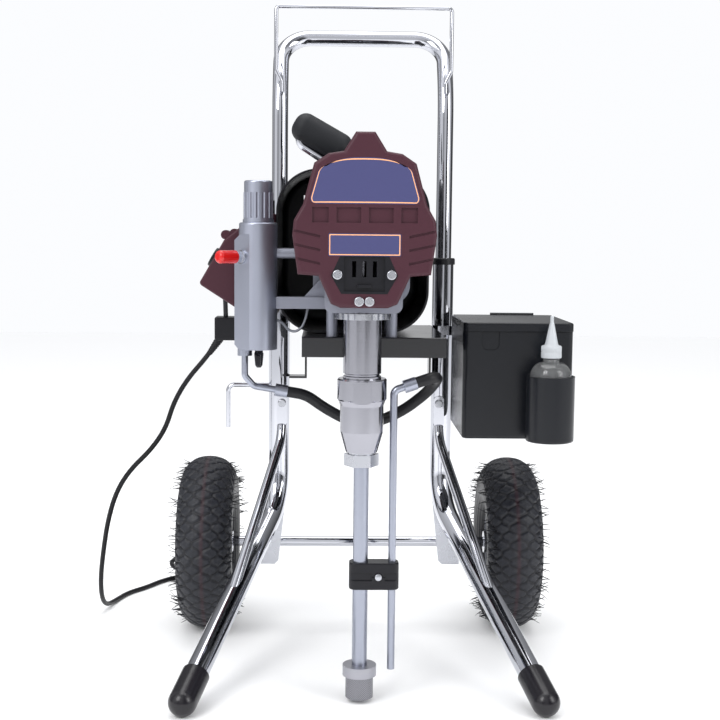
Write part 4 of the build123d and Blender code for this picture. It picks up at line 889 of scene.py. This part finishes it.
capShape = dict(
    radius=(0.1, 13.6, 14.0, 14.0, 13.2, 14.0, 14.0, 12.6, 9.8, 8.6, 3.2, 2.6, 2.4, 1.2, 0.1),
    height=(
        458.1, 458.1, 459.0, 465.5, 466.2, 467.0, 473.5, 474.8,
        475.4, 478.0, 505.0, 506.5, 514.5, 515.8, 515.9,
    ),
    ribRows=(0, 0, 0.6, 1, 0.2, 1, 1, 0, 0, 0, 0, 0, 0, 0, 0),
    ribs=36,
    ribDepth=0.7 * mm,
    around=144,
)


def makeBottle():
    # blown bottle: straight side, quarter-ellipse shoulder, short neck, as one closed surface
    s = bottleShape
    low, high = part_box("oil_bottle")
    cx, cy = (low.x + high.x) / 2, (low.y + high.y) / 2
    arc = np.linspace(0, np.pi / 2, 14)
    shoulderR = s["neckRadius"] + (s["bodyRadius"] - s["neckRadius"]) * np.cos(arc)
    shoulderZ = s["shoulder"] + 19.0 * np.sin(arc)
    radius = np.r_[0.1, 25.0, 27.2, 28.0, shoulderR, s["neckRadius"], s["neckRadius"], 0.1]
    height = np.r_[
        s["bottom"], s["bottom"], s["bottom"] + 0.8, s["bottom"] + 3.0, shoulderZ, 453.0, s["neckTop"],
        s["neckTop"]
    ]
    grid = turnedGrid(radius * mm, height * mm, 64) + (cx, cy, 0)
    bottle = pieceFromArrays(
        "blown_bottle", grid, gridFaces(len(radius), 64, closeColumns=True), materials["bottleClear"],
        "bottle"
    )
    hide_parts("oil_bottle")
    c = capShape
    radius, height = np.array(c["radius"]), np.array(c["height"])
    grid = turnedGrid(radius * mm, height * mm, c["around"], c["ribs"], c["ribDepth"], c["ribRows"])
    grid = grid + (cx, cy, 0)
    cap = pieceFromArrays(
        "nozzle_cap", grid, gridFaces(len(radius), c["around"], closeColumns=True), materials["capPolythene"],
        "bottle"
    )
    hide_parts("bottle_cap")


makeBottle()
print("stage: oil bottle made")


boltShape = dict(radius=(0.1, 4.6, 4.6, 3.9, 0.1), height=(0, 0, 0.6, 1.1, 1.2), around=24, sunk=0.4)


def makeClipBolt():
    # plated bolt head on the twin clip, midway between its tubes: a turned outline laid towards the
    # operator
    clipLow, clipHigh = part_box("tube_clip")
    x = (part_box("suction_tube")[1].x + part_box("drain_tube")[0].x) / 2
    x = min(max(x, clipLow.x + 0.02), clipHigh.x - 0.01)
    z = (clipLow.z + clipHigh.z) / 2
    s = boltShape
    grid = turnedGrid(np.array(s["radius"]) * mm, np.array(s["height"]) * mm, s["around"])
    points = np.stack(
        [x + grid[..., 0], clipLow.y + s["sunk"] * mm - grid[..., 2], z + grid[..., 1]], axis=-1
    )
    pieceFromArrays(
        "clip_bolt", points, gridFaces(
            len(s["radius"]), s["around"], closeColumns=True
        ), materials["zincPlate"], "cart",
    )


makeClipBolt()

print("stage: done")
